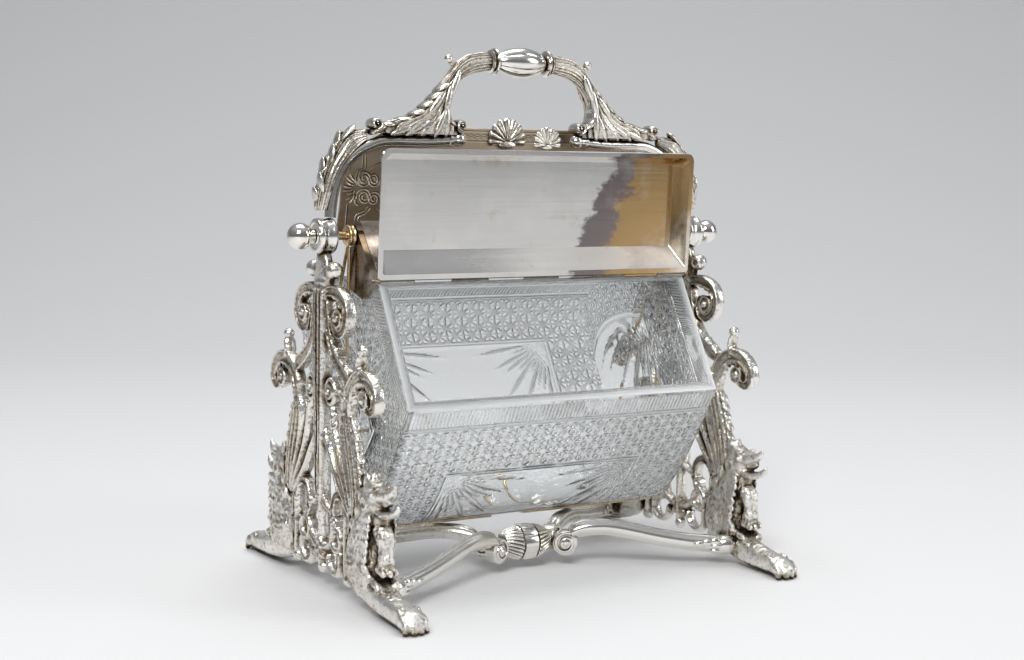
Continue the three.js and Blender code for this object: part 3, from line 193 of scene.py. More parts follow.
# Sheet in dark and pale veins: dark, middle and pale colours, scale of the veins, roughness; on the end
# plates the veins are a painted reflection
MARBLES = {
    "painted_reflection_sheet": ((0.12, 0.095, 0.075), (0.3, 0.21, 0.13), (0.62, 0.57, 0.5), 34.0, 0.1),
    "plate_silver": ((0.5, 0.41, 0.3), (0.6, 0.5, 0.38), (0.72, 0.64, 0.52), 24.0, 0.34),
    "rail_sheet": ((0.3, 0.25, 0.2), (0.52, 0.46, 0.39), (0.8, 0.76, 0.7), 26.0, 0.1),
}
VEIN_PLACES, VEIN_DETAIL, VEIN_ROUGH, VEIN_STRETCH = (0.34, 0.46, 0.53, 0.6, 0.68), 5.0, 0.55, (0.6, 1.0, 1.0)
SCRATCHES_PER_VEIN, SCRATCH_DEPTH, SCRATCH_STRENGTH, BRUSH_STRENGTH = 12, 0.02, 0.5, 0.6
# How much rougher than its smoothest a polished surface and a veined one get
LINE_DULL, VEIN_DULL = 0.14, 0.12
GLASS_COLOR, GLASS_IOR, GLASS_RIPPLE, GLASS_RIPPLE_STRENGTH = (0.96, 0.975, 0.98), 1.5, 0.15, 0.4
# Glass: its roughness from clean to worn, what matt glass adds to it and what it lets through
GLASS_ROUGH, MATT_ROUGH, MATT_CLEAR = (0.015, 0.11), 0.17, 0.45
# The lid's patch: X at its foot and top, the heights of these, how ragged its edge is, how wide its bands
PATCH_X, PATCH_Z, PATCH_STRAY, PATCH_REACH = (0.042, 0.072), (0.165, 0.228), 0.011, 0.06
# On the upward-facing foot wall the patch's bands shift back and the plate turns paler: a painted highlight
# where that wall catches the light
PATCH_BACK_SHARE, FOOT_HIGHLIGHT_SHARE = 0.33, 0.8
PATCH_BANDS = [
    (0.0, (0.66, 0.65, 0.63)), (0.3, (0.66, 0.65, 0.63)), (0.33, (0.2, 0.175, 0.175)),
    (0.48, (0.22, 0.185, 0.18)), (0.51, (0.42, 0.28, 0.13)), (0.8, (0.46, 0.31, 0.15)),
    (0.9, (0.74, 0.66, 0.54)),
]
PALE_PLATE, BRUISE = (0.86, 0.84, 0.81), (0.5, 0.37, 0.22)
# The lid: how far up its foot wall faces and how far back its outer side, from not at all to wholly; its
# roughness; where along X its foot turns dull, and by how much
FOOT_FACING, BACK_FACING, LID_ROUGH = (0.35, 0.6), (0.0, 0.25), (0.06, 0.2)
FOOT_DULL_X, FOOT_DULL = (-0.06, 0.0), 0.42


def silver(name, bright, shine, dull, reach, low, high, grain, grain_depth):
    """Silver plate with tarnish left in the hollows and worn bright on what stands proud."""
    s = Surface(name)
    openness = s.step("AmbientOcclusion", "AO", {"Distance": reach * MM}, samples=8)
    blotch = s.calc("MULTIPLY", s.cloud(*BLOTCHES), BLOTCH_SHARE)
    lit = s.calc("SUBTRACT", s.calc("SUBTRACT", openness, blotch), s.span(s.cloud(*SPECKS), *SPECK_SPAN))
    worn = s.span(lit, low, high)
    fine = s.cloud(grain, GRAIN_DETAIL)
    rough = s.calc("ADD", s.span(worn, 0.0, 1.0, dull, shine), s.calc("MULTIPLY", fine, GRAIN_SHARE))
    color = s.ramp(worn, TARNISH + [(1.0, bright)])
    return s.metal(s.mix(s.span(s.cloud(*WARMTH), *WARM_SPAN), color, WARM_STAIN), rough, fine, grain_depth)


def polished(name, color, shine, stain, stain_low):
    s = Surface(name)
    stained = s.span(s.cloud(*STAINS), stain_low, stain_low + STAIN_REACH, 0.0, STAIN_SHARE)
    lines = s.cloud(*SCRATCHES)
    rough = s.span(lines, 0.3, 0.8, shine, shine + LINE_DULL)
    return s.metal(s.mix(stained, color, stain), rough, lines, SCRATCH_DEPTH, SCRATCH_STRENGTH)


def marbled(name, dark, middle, pale, scale, shine):
    s = Surface(name)
    veins = s.cloud(scale, VEIN_DETAIL, VEIN_ROUGH, VEIN_STRETCH)
    scratch = s.cloud(scale * SCRATCHES_PER_VEIN)
    color = s.ramp(veins, list(zip(VEIN_PLACES, (dark, middle, dark, middle, pale))))
    rough = s.span(scratch, 0.3, 0.7, shine, shine + VEIN_DULL)
    return s.metal(color, rough, scratch, SCRATCH_DEPTH, SCRATCH_STRENGTH)


def glass_material():
    """Clear glass, matt where its surface is cut or ground."""
    s = Surface("cut_glass")
    frost = s.step("Attribute", "Fac", {}, attribute_name="frost")
    clear = s.span(s.cloud(*GLASS_WEAR), 0.5, 0.8, *GLASS_ROUGH)
    return s.finish({
        "Base Color": GLASS_COLOR, "IOR": GLASS_IOR,
        "Roughness": s.calc("ADD", clear, s.span(frost, 0.0, 1.0, 0.0, MATT_ROUGH)),
        "Transmission Weight": s.span(frost, 0.0, 1.0, 1.0, MATT_CLEAR),
        "Normal": s.bump(s.cloud(*GLASS_WAVES), GLASS_RIPPLE, GLASS_RIPPLE_STRENGTH)})


def lid_material():
    """Brushed plate, worn through to warm metal over one end behind a slanting, ragged edge; its
    upward-facing foot wall is painted paler, a painted highlight.
    """
    s = Surface("mirror_lid")
    x, _, z = s.axes("Object")
    _, facing_y, facing_z = s.axes("Normal")
    lean = s.span(s.span(z, *PATCH_Z), 0.0, 1.0, *PATCH_X)
    stray = s.span(s.cloud(*RAGGED), 0.3, 0.7, -PATCH_STRAY, PATCH_STRAY)
    past = s.calc("ADD", s.calc("SUBTRACT", x, lean, False), stray, False)
    foot_wall = s.span(facing_z, *FOOT_FACING)
    inner_side = s.span(facing_y, *BACK_FACING, 1.0, 0.0)
    kept_in = s.calc("MULTIPLY", s.span(past, -PATCH_REACH, PATCH_REACH), inner_side)
    place = s.calc("SUBTRACT", kept_in, s.calc("MULTIPLY", foot_wall, PATCH_BACK_SHARE))
    faded = s.span(s.cloud(*FADING), *FADE_SPAN)
    # Paler where the random fading cloud is high (real wear) and on the upward-facing foot wall (painted
    # highlight)
    pale_fade_and_highlight = s.calc("ADD", faded, s.calc("MULTIPLY", foot_wall, FOOT_HIGHLIGHT_SHARE))
    base = s.mix(pale_fade_and_highlight, s.ramp(place, PATCH_BANDS), PALE_PLATE)
    color = s.mix(s.span(s.cloud(*BRUISES), *BRUISE_SPAN), base, BRUISE)
    brush = s.cloud(*BRUSHING)
    dulled = s.calc("MULTIPLY", foot_wall, s.span(x, *FOOT_DULL_X, 0.0, FOOT_DULL))
    rough = s.calc("ADD", s.span(brush, 0.3, 0.75, *LID_ROUGH), dulled)
    return s.metal(color, rough, brush, SCRATCH_DEPTH, BRUSH_STRENGTH)


CAST, FUR, LEAF, SMOOTH = (silver(name, *row) for name, row in SILVERS.items())
BALL, BRASS, ENGRAVED, PAINTED_EDGE_HIGHLIGHT = (polished(name, *row) for name, row in POLISHES.items())
PAINTED_REFLECTION_SHEET, PLATE, RAIL = (marbled(name, *row) for name, row in MARBLES.items())
GLASS = glass_material()


# Solids as vertices and faces

def circle(count):
    return np.linspace(0, 2 * math.pi, count, endpoint=False)


def squared(wave, power):
    """A sine wave drawn out toward a square one."""
    return np.sign(wave) * np.abs(wave) ** power


def spaced(values, count):
    """Values spread evenly over a line, read at so many places."""
    return np.interp(np.linspace(0, 1, count), np.linspace(0, 1, np.size(values)), np.atleast_1d(values))


def ring_faces(rows, count):
    """Faces between closed rings of vertices, each joined to the next."""
    index = np.arange(rows * count).reshape(rows, count)
    a, d = index[:-1], index[1:]
    return np.stack([a, np.roll(a, -1, 1), np.roll(d, -1, 1), d], -1).reshape(-1, 4).tolist()


class Form:
    """Vertices in millimetres and faces, gathered from several closed surfaces."""

    def __init__(self):
        self.parts, self.faces, self.count = [], [], 0

    def add(self, verts, faces):
        verts = np.asarray(verts, float).reshape(-1, 3)
        self.faces += [tuple(i + self.count for i in face) for face in faces]
        self.parts.append(verts)
        self.count += len(verts)
        return self

    def verts(self):
        return np.vstack(self.parts)

    def moved(self, change):
        return Form().add(change(self.verts()), self.faces)

    def loft(self, rings, caps="flat"):
        """A skin over rings; its ends are flat, or strips between a ring's two halves, or open."""
        rings = np.asarray(rings, float)
        rows, count = rings.shape[:2]
        faces = ring_faces(rows, count)
        ends = [list(range(count))[::-1], list(range((rows - 1) * count, rows * count))]
        if caps == "flat":
            faces += ends
        elif caps == "strips":
            for end in ends:
                faces += [(end[c], end[c + 1], end[-c - 2], end[-c - 1]) for c in range(count // 2 - 1)]
        return self.add(rings, faces)

    def egg(self, centre, radii, turn=None, around=16, down=10):
        a = np.linspace(0, math.pi, down + 1)[1:-1, None]
        b = circle(around)
        rings = np.stack(np.broadcast_arrays(np.sin(a) * np.cos(b), np.sin(a) * np.sin(b), np.cos(a)), -1)
        points = np.vstack([rings.reshape(-1, 3), [[0, 0, 1], [0, 0, -1]]]) * radii
        if turn is not None:
            points = points @ turn.T
        faces = ring_faces(down - 1, around)
        last, top = (down - 2) * around, (down - 1) * around
        for c in range(around):
            d = (c + 1) % around
            faces += [(top, d, c), (top + 1, last + c, last + d)]
        return self.add(points + np.asarray(centre, float), faces)


def make(name, form, finish, nodes=(), slot="silver", body="stand", angle=40.0, frost=None):
    mesh = meshed(name, (form.verts() * MM).tolist(), form.faces)
    if frost is not None:
        mesh.attributes.new("frost", "FLOAT", "POINT").data.foreach_set("value", frost)
    work = bmesh.new()
    work.from_mesh(mesh)
    bmesh.ops.remove_doubles(work, verts=work.verts, dist=WELD * MM)
    bmesh.ops.recalc_face_normals(work, faces=work.faces)
    work.to_mesh(mesh)
    work.free()
    mesh.shade_smooth()
    mesh.set_sharp_from_angle(angle=math.radians(angle))
    mesh.materials.append(finish)
    piece = placed(name, mesh)
    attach(piece, body)
    if nodes:
        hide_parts(*nodes)


def pair(name, form, finish, node=None, **rest):
    """A piece on the right and its mirror image on the left."""
    for hand, shape in (("right", form), ("left", form.moved(lambda p: p * [-1, 1, 1]))):
        make(f"{hand}_{name}", shape, finish, [f"{hand}_{node}"] if node else [], **rest)


def tipped(points, angle):
    """Turned about X."""
    c, s = math.cos(angle), math.sin(angle)
    x, y, z = points.T
    return np.stack([x, y * c - z * s, y * s + z * c], 1)


def hang(points):
    """From the upright barrel's frame to where it hangs."""
    return tipped(points, HANG) + PIVOT


def lid_frame(points):
    """From the closed lid's frame, its origin on the hinge, to where the open lid stands."""
    return hang(tipped(points, LID_TURN) + HINGE)


def smooth_line(points, steps):
    """A spline through the points, with its directions."""
    p = np.asarray(points, float)
    ends = np.vstack([p[0], p, p[-1]])
    t = np.linspace(0, len(p) - 1, steps + 1)
    k = np.minimum(t.astype(int), len(p) - 2)
    f = (t - k)[:, None]
    a, b, c, d = ends[k], ends[k + 1], ends[k + 2], ends[k + 3]
    v0, v1 = (c - a) / 2, (d - b) / 2
    at = (2 * b - 2 * c + v0 + v1) * f**3 + (3 * c - 3 * b - 2 * v0 - v1) * f**2 + v0 * f + b
    return at, unit(np.gradient(at, axis=0))


def unit(ways):
    return ways / np.linalg.norm(ways, axis=-1, keepdims=True)


def between(shares, x_ends, z_ends):
    """Places in X and Z from their shares of the way between two ends."""
    (x, x_end), (z, z_end) = x_ends, z_ends
    return [(x + (x_end - x) * o, z + (z_end - z) * u) for o, u in shares]


# Glass box

LIP, BELLY, BELLY_DEPTH, DEPTH, CORNER = 35.5, 69.5, 78.4, 102.4, 24.0
HALF_LENGTH, WALL, FLOOR = 94.6, 4.6, 5.5
MOUTH_BACK, MOUTH_UP = 65.5, 8.1
SWELL_SHARES = [(0.43, 0.32), (1.0, 0.73)]
CELLS_ACROSS, CELL_STEPS = 17, 10
CELL_WIDE, CELL_DEEP = 2 * HALF_LENGTH / CELLS_ACROSS, 9.7
STEP_WIDE, STEP_DEEP = CELL_WIDE / CELL_STEPS, CELL_DEEP / CELL_STEPS
COMB_START, COMB_END, LINE_AT, STARS_START = (n * STEP_DEEP for n in (2, 12, 14, 16))
STAR_ROWS, SIDE_CELLS, END_CELLS = 3, 3, 10
STARS_END = STARS_START + STAR_ROWS * CELL_DEEP
SIDE_WIDTH = SIDE_CELLS * CELL_WIDE
BORDER = 2 * STEP_DEEP
BACK_COMB = 84.0
STAR_DEPTH, STAR_HALF, LINE_DEPTH, LINE_HALF = 0.7, 0.85, 0.5, 1.0
END_STEP = 2 * (BELLY - CORNER) / (END_CELLS * CELL_STEPS)
# How far over the floor the walls' pattern stops, and how far over it the front's gives way to the back's
WALL_FOOT, END_FOOT, TURN_OVER = 6, 8, 4
# Fans: first and last direction, number of cuts, length
WALL_FAN, END_FAN = (8, 82, 11, 54.0), (4, 80, 14, 66.0)
# Least and greatest half width of a fan's cut near its root, and the least at its tip; the plain margin at
# the ends, and how far the stars may pass the edge of their field
RAY_NARROW, RAY_WIDE, RAY_TIP, EDGE_PLAIN, GRID_SLACK = 0.6, 0.7, 0.05, 0.2, 0.1
# How matt the glass is from what depth of cut, how much deeper it is fully matt, and at the inner corners
FROST_FROM, FROST_RANGE, CORNER_FROST = 0.15, 0.35, 0.15
LINING_STEPS = 48


def half_section(inset, floor):
    """The front half of the section: distance from the middle plane, and depth under the lip."""
    start, belly = np.array([LIP - inset, 0.0]), np.array([BELLY - inset, BELLY_DEPTH])
    first, second = (start + np.array(share) * (belly - start) for share in SWELL_SHARES)
    t = np.linspace(0, 1, 60)[:, None]
    side = (1 - t) ** 3 * start + 3 * (1 - t) ** 2 * t * first + 3 * (1 - t) * t**2 * second + t**3 * belly
    a = np.linspace(0, math.pi / 2, 30)[1:]
    reach, drop = CORNER - inset, DEPTH - floor - BELLY_DEPTH
    corner = np.stack([BELLY - CORNER + reach * np.cos(a), BELLY_DEPTH + drop * np.sin(a)], 1)
    return np.vstack([side, corner])


def even(line, count):
    """The line at evenly spaced places, and how far along it they are."""
    lengths = np.concatenate([[0], np.cumsum(np.linalg.norm(np.diff(line, axis=0), axis=1))])
    at = np.linspace(0, lengths[-1], count)
    return np.stack([np.interp(at, lengths, line[:, i]) for i in range(2)], 1), at


def vee(distance, half, depth):
    return depth * np.clip(1 - np.abs(distance) / half, 0, 1)


def stars(p, q):
    """Depth of a field of cut squares, each crossed by an eight-point star."""
    c = np.abs(np.mod(p / CELL_WIDE + 0.001, 1) - 0.5)
    d = np.abs(np.mod(q / CELL_DEEP + 0.001, 1) - 0.5)
    cuts = [
        (np.abs(c - d) * math.sqrt(0.5), STAR_HALF, STAR_DEPTH),
        (np.minimum(c, d), STEP_DEEP, 0.6 * STAR_DEPTH), (0.5 - np.maximum(c, d), STEP_DEEP, STAR_DEPTH)]
    return np.max([vee(share * CELL_DEEP, half, depth) for share, half, depth in cuts], axis=0)


def fan(p, q, first, last, count, length):
    """Depth of a fan of tapering cuts from the origin, between two directions in degrees."""
    r = np.hypot(p, q)
    angle = np.degrees(np.arctan2(q, p))
    pitch = (last - first) / (count - 1)
    k = np.clip(np.round((angle - first) / pitch), 0, count - 1)
    off = r * np.sin(np.radians(np.abs(angle - first - k * pitch)))
    reach = length * (0.76 + 0.24 * np.cos(k * 2.6))
    spread = np.clip(0.5 * np.radians(pitch) * r, RAY_NARROW, RAY_WIDE + 0.03 * r)
    half = spread * np.clip((reach - r) / (0.35 * reach), 0, 1)
    inside = (r < reach) & (angle > first - pitch / 2) & (angle < last + pitch / 2)
    return np.where(inside & (half > RAY_TIP), vee(off, np.maximum(half, RAY_TIP), 0.5 * half), 0)


def comb_and_rows(across, edge, down):
    """A comb of short flutes, a line under it and rows of stars, from the top of a wall."""
    flutes = np.mod(np.round(across / STEP_WIDE), 2) == 0
    comb = np.where(flutes & (down > COMB_START) & (down < COMB_END), LINE_DEPTH, 0)
    rows = (down >= STARS_START - GRID_SLACK) & (down <= STARS_END + GRID_SLACK)
    field = np.where(rows, stars(edge, down - STARS_START), 0)
    return np.maximum(np.maximum(comb, vee(down - LINE_AT, LINE_HALF, LINE_DEPTH)), field)


def open_part(edge, down, foot, fans):
    """Side columns of stars, the lines that border the clear middle, and a fan from each of its corners."""
    below = (down > STARS_END) & (down < foot)
    columns = np.where(below & (edge <= SIDE_WIDTH + GRID_SLACK), stars(edge, down - STARS_START), 0)
    p, q = edge - SIDE_WIDTH - BORDER, down - STARS_END - BORDER
    border = [vee(near, LINE_HALF, LINE_DEPTH) * (other > -LINE_HALF) for near, other in ((p, q), (q, p))]
    rays = np.where((p > 0) & (q > 0), fan(p, q, *fans), 0)
    return np.where(below & (p > -BORDER), np.max([columns, *border, rays], axis=0), columns)


def ring_depth(x, around, total, whole):
    """Depth of the pattern at a distance round the section, from the front lip to the back lip."""
    edge, back = HALF_LENGTH - np.abs(x), whole - around
    front_side = around < total - TURN_OVER
    rear = open_part(edge, back - BACK_COMB, whole - total + WALL_FOOT - BACK_COMB, WALL_FAN)
    cuts = [comb_and_rows(x, edge, down) for down in (around, back, back - BACK_COMB)]
    cuts += [np.where(front_side, open_part(edge, around, total - WALL_FOOT, WALL_FAN), 0)]
    cuts += [np.where(around > total - TURN_OVER, rear, 0)]
    return np.max(cuts, axis=0) * np.clip(edge - EDGE_PLAIN, 0, 1)


def end_depth(u, across, down, half_width, total):
    """Depth of the pattern on an end wall; u runs from the back wall, below nought, to the front."""
    edge = END_CELLS * CELL_WIDE / 2 - np.abs(across)
    sides = open_part(edge, down, total - END_FOOT, WALL_FAN)
    clear = (edge > SIDE_WIDTH + BORDER + 1) & (down > STARS_END + BORDER + 1)
    p = half_width + u - SIDE_CELLS * CELL_STEPS * END_STEP - BORDER
    rays = np.where(clear & (down < total - END_FOOT), fan(p, down - STARS_END - BORDER, *END_FAN), 0)
    depth = np.maximum(comb_and_rows(across, edge, down), np.where(clear, rays, sides))
    return depth * np.clip(np.minimum(half_width - np.abs(u), total - down) - 1, 0, 1)


def quads(index, depth):
    """Two triangles for each cell of a grid of vertices, split along the deeper of its diagonals."""
    a, b, c, d = index[:-1, :-1], index[:-1, 1:], index[1:, 1:], index[1:, :-1]
    level = (depth[a] + depth[c] >= depth[b] + depth[d])[..., None]
    first = np.where(level, np.stack([a, b, c], -1), np.stack([a, b, d], -1))
    second = np.where(level, np.stack([a, c, d], -1), np.stack([b, c, d], -1))
    return np.vstack([first.reshape(-1, 3), second.reshape(-1, 3)]).tolist()


def glass_form():
    """The box as one closed form, and how matt each vertex is: ground at the lips and in the cuts."""
    total = even(half_section(0, 0), 2)[1][-1]
    rows = int(round(total / STEP_DEEP)) + 1
    side, down = even(half_section(0, 0), rows)
    floor_half = side[-1][0]
    floor_count = END_CELLS * CELL_STEPS + 1
    floor_y = np.linspace(-floor_half, floor_half, floor_count)[1:-1]
    columns = CELLS_ACROSS * CELL_STEPS + 1
    x = np.linspace(-HALF_LENGTH, HALF_LENGTH, columns)
    floor_line = np.stack([floor_y, np.full(len(floor_y), -DEPTH)], 1)
    line = np.vstack([side * [-1, -1], floor_line, side[::-1] * [1, -1]])
    whole = 2 * (total + floor_half)
    around = np.concatenate([down, total + floor_half + floor_y, whole - down[::-1]])
    way = unit(np.gradient(line, axis=0))
    inward = np.stack([-way[:, 1], way[:, 0]], 1)
    grid_x, grid_a = np.meshgrid(x, around, indexing="ij")
    cut = ring_depth(grid_x, grid_a, total, whole)
    ring = np.concatenate([grid_x[..., None], line[None] + inward[None] * cut[..., None]], -1)
    ring_count = len(line)
    count = columns * ring_count
    points, depths = [ring.reshape(-1, 3)], [cut.ravel()]
    grids = [np.arange(count).reshape(columns, ring_count)]

    half_width, v = (np.repeat(side[:, i:i + 1], floor_count, 1) for i in range(2))
    place = (np.arange(floor_count) - (floor_count - 1) / 2)[None]
    side_steps = SIDE_CELLS * CELL_STEPS
    centre_steps = (floor_count - 1) / 2 - side_steps
    inner_half = half_width - side_steps * END_STEP
    beyond = np.clip(np.abs(place) - centre_steps, 0, None) * END_STEP
    u = -np.sign(place) * (inner_half * np.clip(np.abs(place) / centre_steps, 0, 1) + beyond)
    across = np.repeat(place * STEP_WIDE, rows, 0)
    for end, column in ((-1, 0), (1, columns - 1)):
        depth = end_depth(u, across, np.repeat(down[:, None], floor_count, 1), half_width, total)
        points.append(np.stack([end * (HALF_LENGTH - depth), -u, -v], -1).reshape(-1, 3))
        depths.append(depth.ravel())
        index = np.arange(count, count + depth.size).reshape(rows, floor_count)
        base = column * ring_count
        index[:, 0] = base + np.arange(rows)
        index[:, -1] = base + ring_count - 1 - np.arange(rows)
        index[-1, 1:-1] = base + rows + np.arange(floor_count - 2)
        grids.append(index)
        count += depth.size

    inner_side = even(half_section(WALL, FLOOR), LINING_STEPS)[0]
    loop = np.vstack([inner_side * [-1, -1], inner_side[::-1] * [1, -1]])
    half, n = HALF_LENGTH - WALL, len(loop)
    points.append(np.vstack([np.column_stack([np.full(n, end), loop]) for end in (-half, half)]))
    depths = np.concatenate(depths + [np.zeros(2 * n)])
    faces = [face for grid in grids for face in quads(grid, depths)]
    faces += [(count + j, count + j + 1, count + n + j + 1, count + n + j) for j in range(n - 1)]
    faces += [[start + j for j in range(n)] for start in (count, count + n)]
    left_front, left_back, right_front, right_back = count, count + n - 1, count + n, count + 2 * n - 1
    lip = [grids[0][:, 0], grids[0][:, -1], grids[1][0], grids[2][0]]
    inner = [(right_front, left_front), (right_back, left_back)]
    inner += [(left_back, left_front), (right_back, right_front)]
    faces += [outer.tolist() + list(ends) for outer, ends in zip(lip, inner)]
    frost = np.clip((depths - FROST_FROM) / FROST_RANGE, 0, 1)
    frost[np.concatenate(lip)] = 1
    frost[[left_front, left_back, right_front, right_back]] = CORNER_FROST

    used = np.unique(np.concatenate(faces))
    renumber = np.zeros(len(depths), int)
    renumber[used] = np.arange(len(used))
    form = Form().add(np.vstack(points)[used], [renumber[list(face)].tolist() for face in faces])
    return form.moved(lambda p: hang(p + [0, -MOUTH_BACK, MOUTH_UP])), frost[used]


box, box_frost = glass_form()
make("cut_glass_box", box, GLASS, ["glass_barrel"], "cut_glass", "barrel", 14.0, box_frost)


# Forms for the metalwork

def turned(form, profile, around, place, closed=False):
    """A turned solid about X; the profile gives radius and place along X."""
    a = circle(around)
    if closed:
        profile = profile + profile[:1]
    rings = [np.stack([np.full(around, x), r * np.cos(a), r * np.sin(a)], 1) for r, x in profile]
    return form.loft(np.array(rings) + place, "open" if closed else "flat")


def tube(form, points, radius, sides, steps):
    """A round wire through a smooth line; the radius may change along it."""
    at, way = smooth_line(points, steps)
    side = np.cross([0.0, 1.0, 0.0], way[0])
    if np.linalg.norm(side) < 0.3:
        side = np.array([1.0, 0.0, 0.0])
    a = circle(sides)[:, None]
    rings = []
    for place, tangent, r in zip(at, way, spaced(radius, steps + 1)):
        side = unit(side - tangent * side.dot(tangent))
        rings.append(place + r * (np.cos(a) * side + np.sin(a) * np.cross(tangent, side)))
    return form.loft(rings)


def hoop(form, centre, half, half_up, thick, depth, around=40, sides=12):
    """An oval ring standing in the plane of a side frame."""
    a = circle(sides)
    out = 1 + thick * np.cos(a) / half
    b = np.linspace(0, 2 * math.pi, around + 1)[:, None]
    rings = np.broadcast_arrays(depth * np.sin(a), half * out * np.cos(b), half_up * out * np.sin(b))
    return form.loft(np.stack(rings, -1) + centre, "open")


def cast(form, rails, halves, place, sides, stations, square, flutes=0, depth=0.0, lobes=0, notch=0.0):
    """A casting between two rails, with a soft-cornered, fluted section and lobes along its second rail."""
    a_line, b_line = (smooth_line(rail, stations)[0] for rail in rails)
    a = circle(sides)
    along, out = squared(np.cos(a), square), squared(np.sin(a), square)
    cut = 1 - depth * (0.5 - 0.5 * np.cos(flutes * a))
    rings = []
    for k, half in enumerate(spaced(halves, stations + 1)):
        middle, reach = (a_line[k] + b_line[k]) / 2, (b_line[k] - a_line[k]) / 2
        low = notch * (1 - abs(math.sin(math.pi * lobes * k / stations)))
        wide = along * cut * (1 - low * np.clip(np.cos(a), 0, 1) ** 3)
        u, v = (m + r * wide for m, r in zip(middle, reach))
        rings.append(place(u, v, half * STRAP * out * cut))
    return form.loft(rings)


def grown(form, voxel):
    """The skin round all of a form's solids together, as one surface, a little softened."""
    mesh = meshed("grown", form.verts().tolist(), form.faces)
    piece = placed("grown", mesh)
    remesh = piece.modifiers.new("skin", "REMESH")
    remesh.mode = "VOXEL"
    remesh.voxel_size = voxel
    soft = piece.modifiers.new("soften", "SMOOTH")
    soft.iterations = 1
    soft.factor = 0.5
    skin = bpy.data.meshes.new_from_object(piece.evaluated_get(bpy.context.evaluated_depsgraph_get()))
    points, normals = np.empty((2, len(skin.vertices) * 3))
    skin.vertices.foreach_get("co", points)
    skin.vertices.foreach_get("normal", normals)
    faces = [tuple(face.vertices) for face in skin.polygons]
    bpy.data.objects.remove(piece)
    bpy.data.meshes.remove(mesh)
    bpy.data.meshes.remove(skin)
    return points.reshape(-1, 3), normals.reshape(-1, 3), faces


def upright(x, z, y):
    return np.stack(np.broadcast_arrays(x, y, z), -1)


def lying(x, z):
    """The turn of a leaf whose length lies along X and Z."""
    x, z = unit(np.array([x, z]))
    return np.array([[x, 0.0, -z], [0.0, 1.0, 0.0], [z, 0.0, x]])


def lying_sideways(y, z):
    """The turn of a leaf whose length lies along Y and Z, its thickness along X."""
    y, z = unit(np.array([y, z]))
    return np.array([[0.0, 0.0, 1.0], [y, -z, 0.0], [z, y, 0.0]])


# Side frames

REACH, AXIS, STRAP = 70.0, 183.0, 4.0
FRAME_INNER, FRAME_OUTER, PILLAR_OUTER, RING_INNER = 111.0, 118.0, 119.6, 110.0
FRAME_MIDDLE, FRAME_THICK = (FRAME_INNER + FRAME_OUTER) / 2, FRAME_OUTER - FRAME_INNER
FRAME_GRAIN, FRAME_WAVE, FRAME_WAVE_DEPTH = 0.55, 0.9, 0.2
# Straps: shares of the reach and of the axis's height along the middle line, then widths in straps
STRAP_SHARES = {
    "large_scroll": (
        [(0.443, 0.508), (0.45, 0.557), (0.514, 0.601), (0.629, 0.631), (0.771, 0.631),
         (0.88, 0.601), (0.9, 0.566), (0.84, 0.546), (0.765, 0.557), (0.75, 0.58), (0.79, 0.59)],
        [2.5, 2.3, 2.1, 2.0, 1.9, 1.7, 1.5, 1.2, 1.0, 0.9, 0.6]),
    "leg": (
        [(0.443, 0.525), (0.479, 0.47), (0.529, 0.41), (0.571, 0.35), (0.593, 0.295), (0.593, 0.235)],
        [2.7, 3.4, 3.5, 3.1, 2.75, 2.7]),
    "stem": (
        [(0.086, 0.831), (0.114, 0.776), (0.157, 0.716), (0.243, 0.672), (0.357, 0.642), (0.471, 0.617)],
        [1.5, 1.4, 1.5, 1.75, 1.9, 1.75]),
    "upper_scroll": (
        [(0.09, 0.845), (0.2, 0.852), (0.314, 0.844), (0.405, 0.82), (0.435, 0.781),
         (0.39, 0.748), (0.307, 0.735), (0.232, 0.75), (0.214, 0.781), (0.264, 0.803)],
        [1.2, 1.5, 1.6, 1.6, 1.5, 1.3, 1.2, 1.1, 1.0, 0.8]),
    "bridge": ([(0.2, 0.57), (0.32, 0.575), (0.44, 0.56)], [0.9, 0.8, 1.2]),
    "bead": ([(0.18, 0.535), (0.207, 0.5), (0.225, 0.46)], [1.2, 0.9, 1.3]),
    "outer_rib": (
        [(0.557, 0.257), (0.486, 0.328), (0.4, 0.404), (0.364, 0.481), (0.386, 0.53)],
        [1.0, 1.25, 1.1, 1.0, 0.8]),
    "middle_rib": (
        [(0.529, 0.251), (0.429, 0.317), (0.314, 0.388), (0.243, 0.459), (0.214, 0.51)],
        [1.0, 1.25, 1.25, 1.0, 0.8]),
    "inner_rib": (
        [(0.5, 0.246), (0.386, 0.295), (0.271, 0.344), (0.171, 0.399), (0.05, 0.45)],
        [1.0, 1.1, 1.1, 1.0, 0.8]),
    "hook": (
        [(0.221, 0.208), (0.214, 0.246), (0.257, 0.281), (0.343, 0.292), (0.429, 0.273),
         (0.471, 0.235), (0.486, 0.18)],
        [1.25, 1.1, 1.1, 1.2, 1.25, 1.25, 1.3]),
    "hook_link": ([(0.02, 0.262), (0.12, 0.243), (0.22, 0.235)], [1.0, 0.9, 0.9]),
    "flower_link": ([(0.06, 0.12), (0.14, 0.135), (0.2, 0.15)], [1.3, 1.2, 1.2]),
    "eye_link": ([(0.35, 0.165), (0.42, 0.165), (0.47, 0.17)], [1.4, 1.3, 1.6]),
    "hanging": (
        [(0.135, 0.115), (0.157, 0.08), (0.229, 0.062), (0.31, 0.068), (0.35, 0.095), (0.34, 0.135)],
        [0.9, 0.9, 1.0, 1.0, 0.9, 1.0]),
    "haunch_edge": ([(0.45, 0.25), (0.44, 0.16), (0.45, 0.07)], [1.2, 1.1, 1.2]),
    "finial_neck": ([(0.665, 0.63), (0.636, 0.66), (0.655, 0.692)], [1.3, 0.9, 0.7]),
}
PILLAR_SHARES = ([(0, 0.87), (0, 0.6), (0, 0.42), (0, 0.25)], [3.3, 2.8, 2.3, 1.5])
